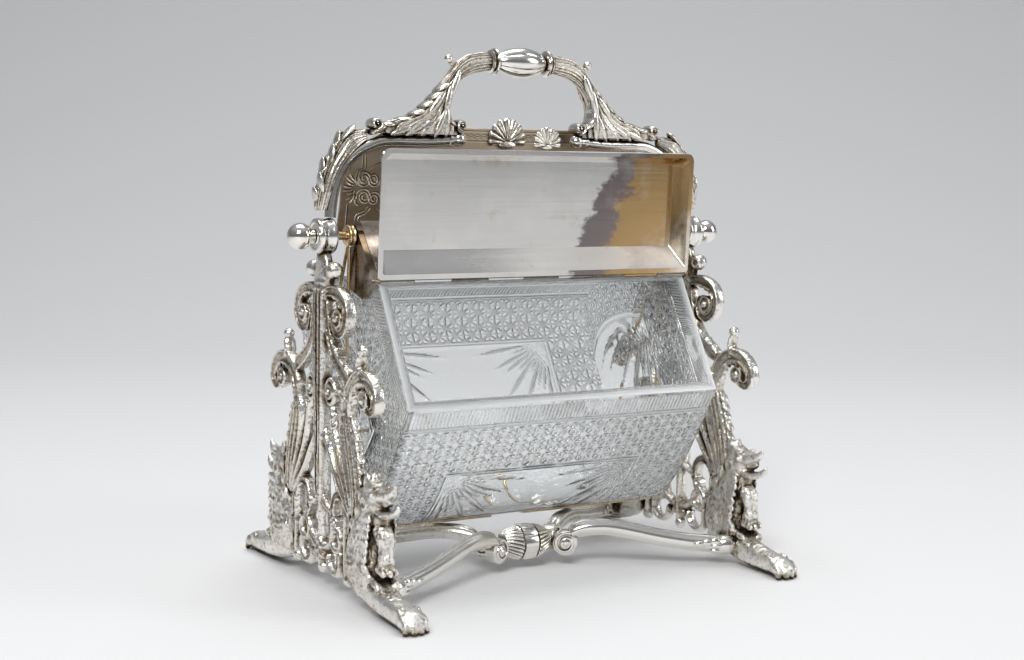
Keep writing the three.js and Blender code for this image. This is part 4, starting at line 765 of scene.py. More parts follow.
NECK_SHARES = ([(0, 0.965), (0, 0.93), (0, 0.89), (0, 0.85), (0, 0.82)], [2.2, 3.2, 5, 4.2, 3.2])
FOOT_STEM_SHARES = ([(0, 0.26), (0, 0.18), (0, 0.065)], [1.5, 1.2, 0.9])
# How far a strap's face stands out, from its middle line to its edge
SECTION_SHARES = {
    "pillar": (
        [0, 0.13, 0.22, 0.32, 0.45, 0.57, 0.7, 0.88, 1], [0.08, 0.1, 0.95, 1, 0.5, 0.45, 0.95, 1, 0.6]),
    "channel": ([0, 0.35, 0.52, 0.66, 0.88, 1], [0.45, 0.36, 0.5, 0.98, 1, 0.55]),
    "fluted": (
        [0, 0.1, 0.24, 0.38, 0.5, 0.62, 0.76, 0.9, 1], [1, 0.9, 0.35, 0.85, 0.98, 0.85, 0.3, 0.85, 0.6]),
    "ridge": ([0, 0.45, 0.75, 1], [1, 0.85, 0.6, 0.45]),
    "swell": ([0, 0.5, 1], [1, 0.92, 0.7]),
}
STRAP_SECTIONS = dict.fromkeys(("large_scroll", "stem", "upper_scroll", "hook"), "channel")
STRAP_SECTIONS["leg"] = "fluted"
# Length of a step along a strap, the fewest steps, and the least length over which its ends are rounded
STRAP_STEP, STRAP_STEPS, STRAP_ROUND = 0.9, 10, 0.5
# Balls: shares across and up, radius in straps, and for a boss how proud it stands
BALL_SHARES = [
    (0.176, 0.907, 1.12, 0), (0.307, 0.779, 1.15, 0.35), (0.73, 0.575, 1.2, 0.2),
    (0.657, 0.704, 0.75, 0), (0.171, 0.571, 0.95, 0.4), (0.25, 0.208, 0.8, 0.1), (0.457, 0.062, 0.9, 0),
]
# Rings: shares across and up, half width and half height in straps, thickness and depth
RING_SHARES = [(0.171, 0.571, 1.271, 1.558, 1.3, 3.0), (0.279, 0.158, 1.375, 1.375, 1.9, 3.4)]
DROP_DOWN, DROP_SIZE = 12.5, (1.8, 1.7, 3.0)
# Bands round the pillar: share up, half length
BAND_SHARES, BAND_HALF_UP, BAND_PROUD = [(0.872, 7.6), (0.855, 7.6), (0.27, 4.2)], 1.3, 0.6
FLOWER_SHARE, PETALS, PETAL_REACH, PETAL_SIZE, PETAL_PROUD = 0.115, 6, 4.18, (3.4, 2.5, 3.9), 0.8
FLOWER_EYE, FLOWER_EYE_PROUD, PENDANT_SHARE, PENDANT_SIZE = (4.2, 2.4, 2.4), 1.2, 0.063, (3.2, 3.4, 3.4)
# Lobes of leaf along the outer edge: strap, where they start and stop on it, how many, on which side, size
LOBE_SHARES = [
    ("large_scroll", 0.06, 0.5, 7, 1, 1.0), ("upper_scroll", 0.08, 0.55, 6, 1, 0.75),
    ("leg", 0.08, 0.95, 9, -1, 1.0), ("stem", 0.15, 0.9, 5, -1, 0.65), ("hook", 0.3, 0.75, 4, 1, 0.6),
    ("outer_rib", 0.75, 1.0, 2, 1, 0.6), ("middle_rib", 0.75, 1.0, 2, 1, 0.6),
    ("inner_rib", 0.75, 1.0, 2, 1, 0.6),
]
LOBE_LEAN, LOBE_HALF_THICK, LOBE_REACH, LOBE_SWING, LOBE_FOOT_SHARE = 1.5, 2.6, 3.7, 0.6, 0.86
# A scroll's boss in profile: radius, then height, as shares
BOSS_SHARES = [(0.06, 1.0), (0.42, 0.72), (0.5, 0.42), (0.66, 0.42), (0.8, 0.66), (0.98, 0.6), (1.0, 0.4)]
# The ring round a pivot pin, as radius and distance from its inner face
RING_PROFILE = [
    (2.45, 0), (7.9, 0), (8.9, 0.5), (9.2, 1.3), (9.2, 2.4), (8.8, 2.9), (8.8, 7.1), (9.2, 7.6), (9.2, 8.8),
    (8.8, 9.6), (7.8, 10.0), (6.9, 10.0), (6.3, 9.4), (4.3, 9.4), (3.7, 10.0), (2.45, 10.0),
]


def frame_line(shares, side, steps=None):
    """A strap's middle line with its directions, and half its width along it."""
    line, widths = shares
    points = np.array([(side * y * REACH, z * AXIS) for y, z in line])
    if not steps:
        length = np.linalg.norm(np.diff(points, axis=0), axis=1).sum()
        steps = max(STRAP_STEPS, int(length / STRAP_STEP))
    return *smooth_line(points, steps), spaced(widths, steps + 1) * STRAP / 2


def strap(form, shares, side, section="ridge", outer=FRAME_OUTER, sides=72):
    at, way, half = frame_line(shares, side)
    gone = np.concatenate([[0], np.cumsum(np.linalg.norm(np.diff(at, axis=0), axis=1))])
    end = np.clip(np.minimum(gone, gone[-1] - gone) / np.maximum(half, STRAP_ROUND), 0.02, 1)
    rounding = np.sqrt(1 - (1 - end) ** 2)
    u = np.cos(circle(sides))
    v = squared(np.sin(circle(sides)), 0.35) * np.interp(np.abs(u), *SECTION_SHARES[section])
    middle, thick = (FRAME_INNER + outer) / 2, (outer - FRAME_INNER) / 2
    rings = []
    for (y, z), (wy, wz), h, e in zip(at, way, half * rounding, rounding):
        rings.append(np.stack([middle + v * thick * (0.35 + 0.65 * e), y - wz * h * u, z + wy * h * u], 1))
    return form.loft(rings)


def leaf_lobes(form, shares, start, stop, count, way_out, size, side, steps=200):
    at, way, half = frame_line(shares, side, steps)
    for k in range(count):
        i = int(steps * (start + (stop - start) * (k + 0.5) / count))
        (y, z), (wy, wz) = at[i], way[i]
        ny, nz = wz * way_out * side, -wy * way_out * side
        turn = lying_sideways(ny + LOBE_LEAN * wy, nz + LOBE_LEAN * wz)
        reach, inward = size * (LOBE_REACH + LOBE_SWING * math.sin(2.4 * k)), LOBE_FOOT_SHARE * half[i]
        foot = [FRAME_MIDDLE, y + ny * inward, z + nz * inward]
        form.egg(foot + turn[:, 0] * 0.2 * reach, (reach, 0.36 * reach, LOBE_HALF_THICK), turn, 12, 8)


def button(form, centre, radius, half):
    """A stepped, pointed boss in the eye of a scroll, showing on both faces."""
    profile = [(r * radius, -x * half) for r, x in BOSS_SHARES]
    return turned(form, profile + [(r, -x) for r, x in profile[::-1]], 28, centre)


def frame_form():
    form = Form()
    strap(form, NECK_SHARES, 1, "swell")
    strap(form, PILLAR_SHARES, 1, "pillar", PILLAR_OUTER, 120)
    strap(form, FOOT_STEM_SHARES, 1)
    for up, half in BAND_SHARES:
        form.egg((FRAME_MIDDLE + BAND_PROUD, 0, up * AXIS), (FRAME_THICK * 0.62, half, BAND_HALF_UP))
    for side in (-1, 1):
        for name, shares in STRAP_SHARES.items():
            strap(form, shares, side, STRAP_SECTIONS.get(name, "ridge"))
        for name, *lobes in LOBE_SHARES:
            leaf_lobes(form, STRAP_SHARES[name], *lobes, side)
        for across, up, size, proud in BALL_SHARES:
            place = (FRAME_MIDDLE + 0.1 * proud * FRAME_THICK, side * across * REACH, up * AXIS)
            if proud > 0:
                button(form, place, size * STRAP * 1.05, FRAME_THICK * (0.62 + 0.3 * proud))
            else:
                form.egg(place, (size * STRAP,) * 3, None, 20, 12)
        for across, up, half, half_up, thick, depth in RING_SHARES:
            place = (FRAME_MIDDLE, side * across * REACH, up * AXIS)
            hoop(form, place, half * STRAP, half_up * STRAP, thick, depth)
        across, up = RING_SHARES[0][:2]
        form.egg((FRAME_MIDDLE, side * across * REACH, up * AXIS - DROP_DOWN), DROP_SIZE, None, 14)
    flower = np.array([FRAME_MIDDLE, 0, FLOWER_SHARE * AXIS])
    for k in range(PETALS):
        turn = lying_sideways(math.sin(2 * math.pi * k / PETALS), math.cos(2 * math.pi * k / PETALS))
        form.egg(flower + turn[:, 0] * PETAL_REACH + [PETAL_PROUD, 0, 0], PETAL_SIZE, turn, 14)
    form.egg(flower + [FLOWER_EYE_PROUD, 0, 0], FLOWER_EYE)
    form.egg((FRAME_MIDDLE, 0, PENDANT_SHARE * AXIS), PENDANT_SIZE)
    points, normals, faces = grown(form, FRAME_GRAIN)
    wave = np.array([noise.noise(Vector(p) * FRAME_WAVE) for p in points])
    return Form().add(points + normals * (FRAME_WAVE_DEPTH * wave[:, None]), faces)


pair("scrolled_frame", frame_form(), CAST, "side_frame", angle=60.0)
pair("pivot_ring", turned(Form(), RING_PROFILE, 64, PIVOT + [RING_INNER, 0, 0], True), SMOOTH)


# Griffin feet

TOE_REACH, HEAD, GRIFFIN_X = 103.5, 70.0, 112.0
SEAT_BACK, SEAT_TOP = 34.0, 60
PAD_FACE, PAD_BACK, PAD_UP, PAD_RADIUS, PAD_DEPTH = 102.6, 58.0, 11.5, 5.0, 9.4
GRIFFIN_GRAIN, MANE_FOOT, MANE_TOP, PAW_FUR_SHARE = 0.62, 13, 46, 0.22
TUFT_SCALE, TUFT_DEPTH, CURL_SCALE, CURL_DEPTH = (0.34, 0.34, 0.2), 0.32, (0.5, 0.5, 0.3), 0.38
# Each limb: upper and lower edge as shares of the toes' reach and the head's height, half widths in straps
GRIFFIN_SHARES = {
    "foot": (
        [(0.4, 0.2), (0.48, 0.27), (0.6, 0.26), (0.72, 0.21), (0.84, 0.175), (0.94, 0.15), (0.985, 0.09)],
        [(0.4, 0.12), (0.5, 0.07), (0.62, 0.03), (0.75, 0.012), (0.87, 0.012), (0.95, 0.012), (0.985, 0.03)],
        [1.3, 1.65, 1.75, 1.6, 1.6, 1.6, 0.8]),
    "body": (
        [(0.57, 0.1), (0.6, 0.3), (0.605, 0.48), (0.61, 0.6), (0.63, 0.72), (0.63, 0.83), (0.585, 0.93)],
        [(0.4, 0.12), (0.31, 0.27), (0.32, 0.47), (0.39, 0.62), (0.465, 0.73), (0.468, 0.87), (0.5, 0.96)],
        [1.6, 2.1, 2.1, 1.9, 1.6, 1.5, 0.9]),
    "crown": (
        [(0.54, 0.92), (0.62, 0.92), (0.68, 0.915), (0.72, 0.935), (0.74, 0.96)],
        [(0.55, 0.77), (0.63, 0.8), (0.695, 0.84), (0.735, 0.885), (0.755, 0.935)],
        [1.4, 1.2, 0.8, 0.45, 0.15]),
    "jaw": (
        [(0.55, 0.8), (0.65, 0.765), (0.71, 0.775), (0.75, 0.8), (0.77, 0.83)],
        [(0.57, 0.7), (0.655, 0.7), (0.73, 0.73), (0.77, 0.765), (0.785, 0.81)],
        [1.3, 1.0, 0.7, 0.45, 0.15]),
    "tongue": (
        [(0.6, 0.83), (0.66, 0.82), (0.7, 0.85)],
        [(0.6, 0.79), (0.67, 0.785), (0.715, 0.82)],
        [0.6, 0.5, 0.3]),
    "foreleg": (
        [(0.62, 0.66), (0.675, 0.6), (0.68, 0.5), (0.69, 0.42), (0.68, 0.36)],
        [(0.57, 0.55), (0.61, 0.51), (0.628, 0.45), (0.618, 0.39), (0.635, 0.35)],
        [1.3, 1.1, 0.9, 1.1, 0.8]),
}
# Lumps: shares forward and up, distance from the middle, half sizes, tilt. First eyes, brows, ears, mane and
# haunch, on both sides; then the mane's top, the chest and its claws.
FLANK_LUMP_SHARES = [
    (0.6, 0.86, 4.6, (1.7, 2.3, 2.3), 0), (0.605, 0.862, 5.9, (1.0, 1.3, 1.3), 0),
    (0.595, 0.905, 4.4, (1.8, 3.6, 1.2), 0.3), (0.5, 0.93, 3.0, (1.4, 2.0, 4.6), -0.25),
    (0.475, 0.83, 4.2, (2.0, 2.4, 4.0), -0.2), (0.455, 0.72, 4.8, (2.2, 2.6, 4.2), -0.35),
    (0.42, 0.62, 5.4, (2.4, 2.8, 4.4), -0.5), (0.44, 0.33, 6.6, (3.0, 9.0, 10.0), 0.3),
    (0.53, 0.27, 6.2, (2.6, 7.0, 8.0), -0.2), (0.435, 0.33, 9.8, (1.0, 1.3, 1.3), 0),
]
MIDDLE_LUMP_SHARES = [(0.52, 0.945, 0, (2.4, 2.6, 3.6), -0.2), (0.645, 0.35, 0, (5.0, 4.4, 3.4), 0)]
MIDDLE_LUMP_SHARES += [(0.685, 0.335, across, (1.5, 2.6, 1.9), -0.4) for across in (-3.4, 0, 3.4)]
# Toes: distance from the middle and share of the reach at which each ends; then its knuckle, and behind the
# tip its other lumps
TOE_SHARES = [(-5.6, 0.975), (-1.9, 0.992), (1.9, 0.992), (5.6, 0.975)]
KNUCKLE_SHARES = (0.875, 0.115, (1.9, 4.6, 3.6), -0.2)
TIP_SHARES = [
    (0.05, 0.085, (1.8, 4.0, 3.3), -0.25), (0.022, 0.06, (1.6, 2.4, 2.6), -0.5),
    (0.014, 0.026, (1.6, 1.7, 1.7), -0.8),
]
CHEEK_SHARES, CHEEK_ACROSS, CHEEK_RING = (0.535, 0.79), 5.6, (2.6, 2.9, 1.05, 1.5)
# The haunch's flower: shares forward and up, distance from the middle, petals, their reach and half sizes
ROSE_SHARES, ROSE_ACROSS, ROSE_PETALS, ROSE_REACH, ROSE_PETAL = (0.435, 0.33), 9.4, 6, 3.0, (0.9, 1.5, 1.5)
SCALE_SIZE, SCALE_TILT, ANKLE_SIZE, ANKLE_TILT = (1.2, 1.9, 2.6), 0.5, (1.9, 1.6, 3.6), 0.9
# Distance of a scale and of an ankle's lump from the middle, and how it changes from one to the next
SCALE_ACROSS, SCALE_IN, SCALE_OUT, ANKLE_ACROSS, ANKLE_OUT = 6.9, 0.5, 0.12, 4.6, 0.2
SOLE_FADE, CLAW_GAP = 1.5, 0.2


def griffin_place(forward, up, across):
    return np.stack(np.broadcast_arrays(GRIFFIN_X + across, -forward * TOE_REACH, up * HEAD), -1)


def griffin_lumps(side):
    """Lumps of one flank: the listed ones, the flower on the haunch, the breast's scales and the ankle."""
    lumps = list(FLANK_LUMP_SHARES)
    for k in range(ROSE_PETALS):
        a = 2 * math.pi * k / ROSE_PETALS
        forward = ROSE_SHARES[0] + ROSE_REACH * math.cos(a) / TOE_REACH
        lumps.append((forward, ROSE_SHARES[1] + ROSE_REACH * math.sin(a) / HEAD, ROSE_ACROSS, ROSE_PETAL, 0))
    for k in range(3):
        for row in range(7):
            forward, up = 0.6 - 0.028 * k - 0.006 * row, 0.7 - 0.058 * row - 0.012 * k
            across = SCALE_ACROSS - SCALE_IN * k + SCALE_OUT * row
            lumps.append((forward, up, across, SCALE_SIZE, SCALE_TILT))
        across = ANKLE_ACROSS + ANKLE_OUT * k
        lumps.append((0.6 + 0.03 * k, 0.262 - 0.012 * k, across, ANKLE_SIZE, ANKLE_TILT))
    return [(forward, up, side * across, *rest) for forward, up, across, *rest in lumps]


def toe_lumps():
    lumps = []
    for across, tip in TOE_SHARES:
        forward, up, *rest = KNUCKLE_SHARES
        lumps.append((forward, up, across * 0.9, *rest))
        lumps += [(tip - back, up, across, *rest) for back, up, *rest in TIP_SHARES]
    return lumps


def furred(points, normals):
    """Tufts and curls of fur over the skin; the seat, the sole and the toes' ends stay flat."""
    rough = np.zeros(len(points))
    for i, point in enumerate(points):
        tuft = noise.noise(Vector(point * TUFT_SCALE) + Vector((0, 0, 7)))
        curl = 1 - 3 * abs(noise.noise(Vector(point * CURL_SCALE)))
        full = MANE_FOOT < point[2] < MANE_TOP
        rough[i] = TUFT_DEPTH * tuft + CURL_DEPTH * curl * (1 if full else PAW_FUR_SHARE)
    points = points + normals * (rough * np.clip(points[:, 2] / SOLE_FADE, 0, 1))[:, None]
    points[:, 2] = np.maximum(points[:, 2], 0.0)
    points[:, 1] = np.maximum(points[:, 1], CLAW_GAP - TOE_REACH)
    points[(points[:, 1] > -SEAT_BACK) & (points[:, 2] < SEAT_TOP), 1] = -SEAT_BACK
    return points


def griffin_form():
    """One foot, facing the front: forward is -Y, and its toes rest on the floor."""
    form = Form()
    for top, base, half in GRIFFIN_SHARES.values():
        cast(form, (top, base), half, griffin_place, 20, 40, 0.9)
    lumps = griffin_lumps(-1) + griffin_lumps(1) + MIDDLE_LUMP_SHARES + toe_lumps()
    for forward, up, across, radii, tilt in lumps:
        c, s = math.cos(tilt), math.sin(tilt)
        turn = np.array([[1.0, 0, 0], [0, c, s], [0, -s, c]])
        form.egg(griffin_place(forward, up, across), radii, turn)
    for side in (-1, 1):
        hoop(form, griffin_place(*CHEEK_SHARES, side * CHEEK_ACROSS), *CHEEK_RING, 24, 10)
    turned(form, [(PAD_RADIUS, 0), (PAD_RADIUS, PAD_DEPTH)], 24, (PAD_FACE, -PAD_BACK, PAD_UP))
    points, normals, faces = grown(form, GRIFFIN_GRAIN)
    return Form().add(furred(points, normals), faces)


front_griffin = griffin_form()
rear_griffin = front_griffin.moved(lambda p: p * [1, -1, 1])
pair("griffin_front", front_griffin, FUR, "front_griffin", slot="worn_silver", angle=180.0)
pair("griffin_rear", rear_griffin, FUR, "rear_griffin", slot="worn_silver", angle=180.0)


# Stretcher

BOSS_Y, BOSS_HALF, BOSS_DEPTH, BOSS_TOP, BOSS_FOOT, BOSS_LOBES = -11.0, 13.8, 10.2, 24.8, 4.4, 12
VOLUTE_X, VOLUTE_SPREAD, VOLUTE_RADIUS, VOLUTE_Z, ARM_HALF = 21.8, 7.5, 7.3, 13.4, 4.2
VOLUTE_START, VOLUTE_TURNS, VOLUTE_SHRINK, VOLUTE_THICK = math.radians(62), 1.75, 0.4, 1.15
FRONT_RISE, REAR_RISE, ARM_END_GAP = 26.6, 24.8, 0.3
# Steps of a volute's core: radius, half width; and how far its corners are taken off
VOLUTE_CORE, CORE_SHARE, CORE_BEVEL = [(6.7, 3.3), (2.9, 4.6), (1.4, 5.2)], 0.7, 0.5
ARM_TOP_SHARES = [
    (0.02, 0.8), (0.05, 0.9), (0.1, 0.97), (0.17, 1), (0.28, 0.985), (0.42, 0.9), (0.57, 0.79),
    (0.75, 0.69), (0.92, 0.64), (1.0, 0.62),
]
ARM_BASE_SHARES = [
    (0.05, 0.6), (0.07, 0.6), (0.1, 0.61), (0.16, 0.64), (0.27, 0.64), (0.41, 0.55), (0.56, 0.44),
    (0.74, 0.34), (0.91, 0.28), (1.0, 0.27),
]
ARM_HALF_SHARES = [0.95, 1.0, 1.0, 1.0, 0.92, 0.85, 0.85, 0.9, 1, 1]
COLLAR_SHARE, COLLAR_LOBES, COLLAR_LOBE_SIZE = 0.44, 7, (4.6, 1.4, 1.4)
COLLAR_BACK, COLLAR_RADIUS = -4.6, 3.9
COLLAR_SIZE = (7.4, ARM_HALF * 1.3, 5.6)
# Leaves beside the collar: shares along and up, half height
SPRIG_SHARES, SPRIG_LONG, SPRIG_THICK = [(0.93, 0.52, 2.4), (0.88, 0.5, 2.0), (0.83, 0.48, 1.6)], 3.4, 1.3
SPRIG_IN = 0.4


def arm_form(eye_y, foot_y, rise, flutes, depth):
    """An arm from a volute beside the boss to the pad on a griffin, with a leafy collar at the pad."""
    form = Form()
    eye, end = np.array([VOLUTE_X, eye_y]), np.array([PAD_FACE - ARM_END_GAP, foot_y])
    length = np.linalg.norm(end - eye)
    way = (end - eye) / length

    def place(u, up, w):
        u, up, w = np.broadcast_arrays(np.asarray(u) * length, np.asarray(up) * rise, w)
        return np.stack([eye[0] + way[0] * u - way[1] * w, eye[1] + way[1] * u + way[0] * w, up], -1)

    def from_eye(reach, a, across):
        return place(reach * np.cos(a) / length, (VOLUTE_Z + reach * np.sin(a)) / rise, across)

    halves = [share * ARM_HALF / STRAP for share in ARM_HALF_SHARES]
    cast(form, (ARM_TOP_SHARES, ARM_BASE_SHARES), halves, place, 48, 90, 0.75, flutes, depth)
    corner = circle(16)
    across = squared(np.cos(corner), 0.5) * ARM_HALF
    rings = []
    for turns in np.linspace(0, VOLUTE_TURNS, 80):
        middle = VOLUTE_RADIUS * (1 - VOLUTE_SHRINK * turns) - VOLUTE_THICK
        reach = middle + VOLUTE_THICK * squared(np.sin(corner), 0.7)
        rings.append(from_eye(reach, VOLUTE_START + 2 * math.pi * turns, across))
    form.loft(rings)
    for r, half in VOLUTE_CORE:
        edge = half - CORE_BEVEL
        steps = ((CORE_SHARE * r, -half), (r, -edge), (r, edge), (CORE_SHARE * r, half))
        form.loft([from_eye(reach, circle(40), w) for reach, w in steps])
    turn = np.array([[way[0], -way[1], 0.0], [way[1], way[0], 0.0], [0.0, 0.0, 1.0]])
    for along, up, half in SPRIG_SHARES:
        for w in (SPRIG_IN - ARM_HALF, ARM_HALF - SPRIG_IN):
            form.egg(place(along, up, w), (SPRIG_LONG, SPRIG_THICK, half), turn, 12, 8)
    collar = place(1.0, COLLAR_SHARE, 0)
    form.egg(collar, COLLAR_SIZE, turn, 24, 14)
    for a in np.radians([30 + 50 * k for k in range(COLLAR_LOBES)]):
        out = turn @ [COLLAR_BACK, COLLAR_RADIUS * math.cos(a), COLLAR_RADIUS * math.sin(a)]
        form.egg(collar + out, COLLAR_LOBE_SIZE, turn, 12, 8)
    return form


def boss_form():
    """A pod with a polished swell round its middle and leafy ridges at both sides."""
    centre, half_up = (BOSS_TOP + BOSS_FOOT) / 2, (BOSS_TOP - BOSS_FOOT) / 2
    a = circle(192)
    lobe = np.abs(np.cos(BOSS_LOBES / 4 * a)) ** 0.5
    rings = []
    for t in np.linspace(-1, 1, 81):
        out = abs(t)
        leafy = min(1, max(0, (out - 0.3) / 0.12)) * min(1, (1 - out) / 0.1)
        ridge = np.abs(np.sin(BOSS_LOBES * (a + 0.5 * (out - 0.4)))) ** 0.7
        size = math.sqrt(1 - (0.8 * t) ** 2) * (0.9 if 0.3 < out < 0.36 else 1)
        reach = size * (1 - leafy * (0.16 - 0.14 * ridge)) * (1 - (1 - leafy) * 0.07 * (1 - lobe))
        y, z = BOSS_Y + BOSS_DEPTH * reach * np.cos(a), centre + half_up * reach * np.sin(a)
        rings.append(upright(t * BOSS_HALF, z, y))
    return Form().loft(rings)


front_arm = arm_form(BOSS_Y - VOLUTE_SPREAD, -PAD_BACK, FRONT_RISE, 4, 0.16)
rear_arm = arm_form(BOSS_Y + VOLUTE_SPREAD, PAD_BACK, REAR_RISE, 8, 0.12)
pair("stretcher_front", front_arm, SMOOTH, "front_stretcher_arm")
pair("stretcher_rear", rear_arm, CAST, "rear_stretcher_arm")
make("ribbed_boss", boss_form(), SMOOTH, ["stretcher_boss"])


# Arch

ROD_RADIUS, ROD_Z, ROD_INNER_X, BEND_X, ROD_X, ROD_KINK_X, ROD_LIFT = 3.0, 231.9, 37.0, 76.0, 111.4, 56, 1.5
ROD_FOOT, ROD_LEAD = AXIS + 9.5, 6.0
BEND_SHARES = [(0, 0), (0.26, 0.03), (0.54, 0.14), (0.74, 0.29), (0.88, 0.48), (0.96, 0.72), (1, 1)]
KNOB_SIZE, NECK_BACK, NECK_LIFT = (3.9, 3.7, 3.9), 5.5, 1.0
NECK_PROFILE = [(3.0, -1.2), (3.6, -0.8), (3.6, 0.8), (3.0, 1.2)]
LEAF_INNER_SHARES = [(0, 0.88), (0.2, 0.76), (0.42, 0.6), (0.58, 0.42), (0.69, 0.22), (0.77, 0)]
LEAF_OUTER_SHARES = [(0.02, 1), (0.42, 1), (0.68, 0.78), (0.88, 0.52), (0.98, 0.24), (1, 0)]
LEAF_HALF_SHARES = [0.4, 1.1, 1.35, 1.3, 1.1, 0.5]
LEAF_X, LEAF_Z = (91.0, 120.0), (196.0, 237.0)
TIPS, TIP_LEAN, TIP_SIZE, TIP_IN, TIP_SIDE = 7, 0.35, (6.4, 3.5, 1.5), 1.6, 1.4


def rod_form():
    form = Form()
    start = (ROD_INNER_X, 0, ROD_Z + ROD_LIFT)
    bend = [(x, 0, z) for x, z in between(BEND_SHARES, (BEND_X, ROD_X), (ROD_Z, ROD_FOOT))]
    tube(form, [start, (ROD_KINK_X, 0, ROD_Z), (BEND_X - ROD_LEAD, 0, ROD_Z), *bend], ROD_RADIUS, 28, 160)
    form.egg(start, KNOB_SIZE, None, 28, 18)
    return turned(form, NECK_PROFILE, 28, (ROD_INNER_X + NECK_BACK, 0, ROD_Z + NECK_LIFT))


def leaf_form():
    form = Form()
    inner, outer = (between(shares, LEAF_X, LEAF_Z) for shares in (LEAF_INNER_SHARES, LEAF_OUTER_SHARES))
    cast(form, (inner, outer), LEAF_HALF_SHARES, upright, 96, 110, 0.85, 16, 0.14, 7, 0.3)
    line, way = smooth_line(outer, 60)
    for k in range(TIPS):
        (x, z), (wx, wz) = line[4 + 8 * k], way[4 + 8 * k]
        place = (x + TIP_IN * wz, TIP_SIDE * (-1) ** k, z - TIP_IN * wx)
        form.egg(place, TIP_SIZE, lying(-TIP_LEAN * wz - wx, TIP_LEAN * wx - wz), 20, 12)
    return form


pair("bent_rod", rod_form(), SMOOTH, "arch_rod")
pair("acanthus_leaf", leaf_form(), LEAF, "arch_leaf", slot="worn_silver", angle=60.0)


# Handle

GRIP_Z, GRIP_HALF, GRIP_RADIUS, GRIP_END, GRIP_LOBES = 275.0, 15.0, 8.4, 3.4, 6
HANDLE_START, HANDLE_FOOT, HANDLE_BASE, HANDLE_RADIUS = 19.6, 87.0, 234.9, 4.9
HANDLE_INNER_SHARES = [
    (0, 0), (0.15, 0.06), (0.26, 0.17), (0.345, 0.36), (0.37, 0.56), (0.34, 0.74), (0.27, 0.86), (0.27, 0.98),
]
HANDLE_OUTER_SHARES = [
    (0, 0), (0.15, 0.02), (0.26, 0.1), (0.41, 0.35), (0.54, 0.56), (0.71, 0.75), (0.97, 0.88), (1, 0.98),
]
HANDLE_HALF_SHARES = [1.1, 1.15, 1.2, 1.3, 1.35, 1.5, 1.6, 1.5]
COLLAR_GAP = 0.3
COLLAR_PROFILE = [
    (1.75, 0), (5.6, 0), (6.8, 0.35), (7.2, 0.9), (6.9, 1.5), (5.6, 1.8), (5.1, 2.2), (5.5, 2.6),
    (6.2, 2.9), (6.2, 3.3), (5.4, 3.7), (4.9, 4.0), (1.75, 4.0),
]
# The rolled ends: place along X, height over the base, which way they roll
CURLS, CURL_RADIUS, CURL_HALF, CURL_THICK, CURL_TURNS = [(37.2, 5.6, 1), (87.0, 5.4, -1)], 4.0, 5.2, 1.2, 1.6
# Lobes along the edges: first step, how many, which side
EDGE_LOBES, EDGE_LOBE_SIZE, EDGE_LOBE_OUT = [(46, 7, 1), (52, 4, -1)], (6.0, 5.6, 2.0), 2.2
EDGE_LOBE_PITCH = 7
# Leaves on the flank: where they lie and how they lean
FLANK_LEAVES = [
    (46.8, 242.6, 92), (50.5, 241.6, 114), (56.0, 240.5, 136), (63.5, 239.0, 150), (71.5, 237.6, 162),
    (46.0, 254.0, 104), (52.5, 252.0, 128), (42.0, 262.0, 112),
]
FLANK_LEAF_SIZE, FLANK_LEAF_SIDE = (8.5, 1.5, 2.1), 4.7
# The bud on the bend: where it stands, its stalk's points from there, the radii and the stalk's root
BUD_SHARE, BUD_LIFT, BUD_RADIUS = 0.355, 0.3, 2.4
BUD_STALK, BUD_STALK_RADII = [(-4.0, -6.5), (-2.4, -3.0), (0, 0.3)], [2.0, 1.3, 1.0]
BUD_ROOT, BUD_ROOT_SIZE = (-5.5, -4.5), (3.6, 3.4, 2.2)


def grip_form():
    a = circle(128)
    lobe = 0.9 + 0.1 * np.abs(np.cos(GRIP_LOBES / 2 * a)) ** 0.5
    rings = []
    for t in np.linspace(-1, 1, 49):
        reach = (GRIP_END + (GRIP_RADIUS - GRIP_END) * math.cos(math.pi / 2 * abs(t)) ** 0.75) * lobe
        rings.append(upright(t * GRIP_HALF, GRIP_Z + reach * np.sin(a), reach * np.cos(a)))
    return Form().loft(rings)


def curl(form, x, z, hand):
    """A rolled-up end of leaf, its eye along Y."""
    corner = circle(16)
    rings = []
    for t in np.linspace(0, 1, 60):
        a = hand * 2 * math.pi * CURL_TURNS * t - math.pi / 2
        middle = (CURL_RADIUS - CURL_THICK) * (1 - 0.65 * t)
        out = middle + CURL_THICK * np.sin(corner) * (1 - 0.3 * t)
        across = squared(np.cos(corner), 0.6) * CURL_HALF * (1 + 0.12 * math.sin(9 * CURL_TURNS * t))
        rings.append(upright(x + out * math.cos(a), z + out * math.sin(a), across))
    form.loft(rings)
    return form.egg((x, 0, z), (CURL_RADIUS * 0.36, CURL_HALF * 1.12, CURL_RADIUS * 0.36))


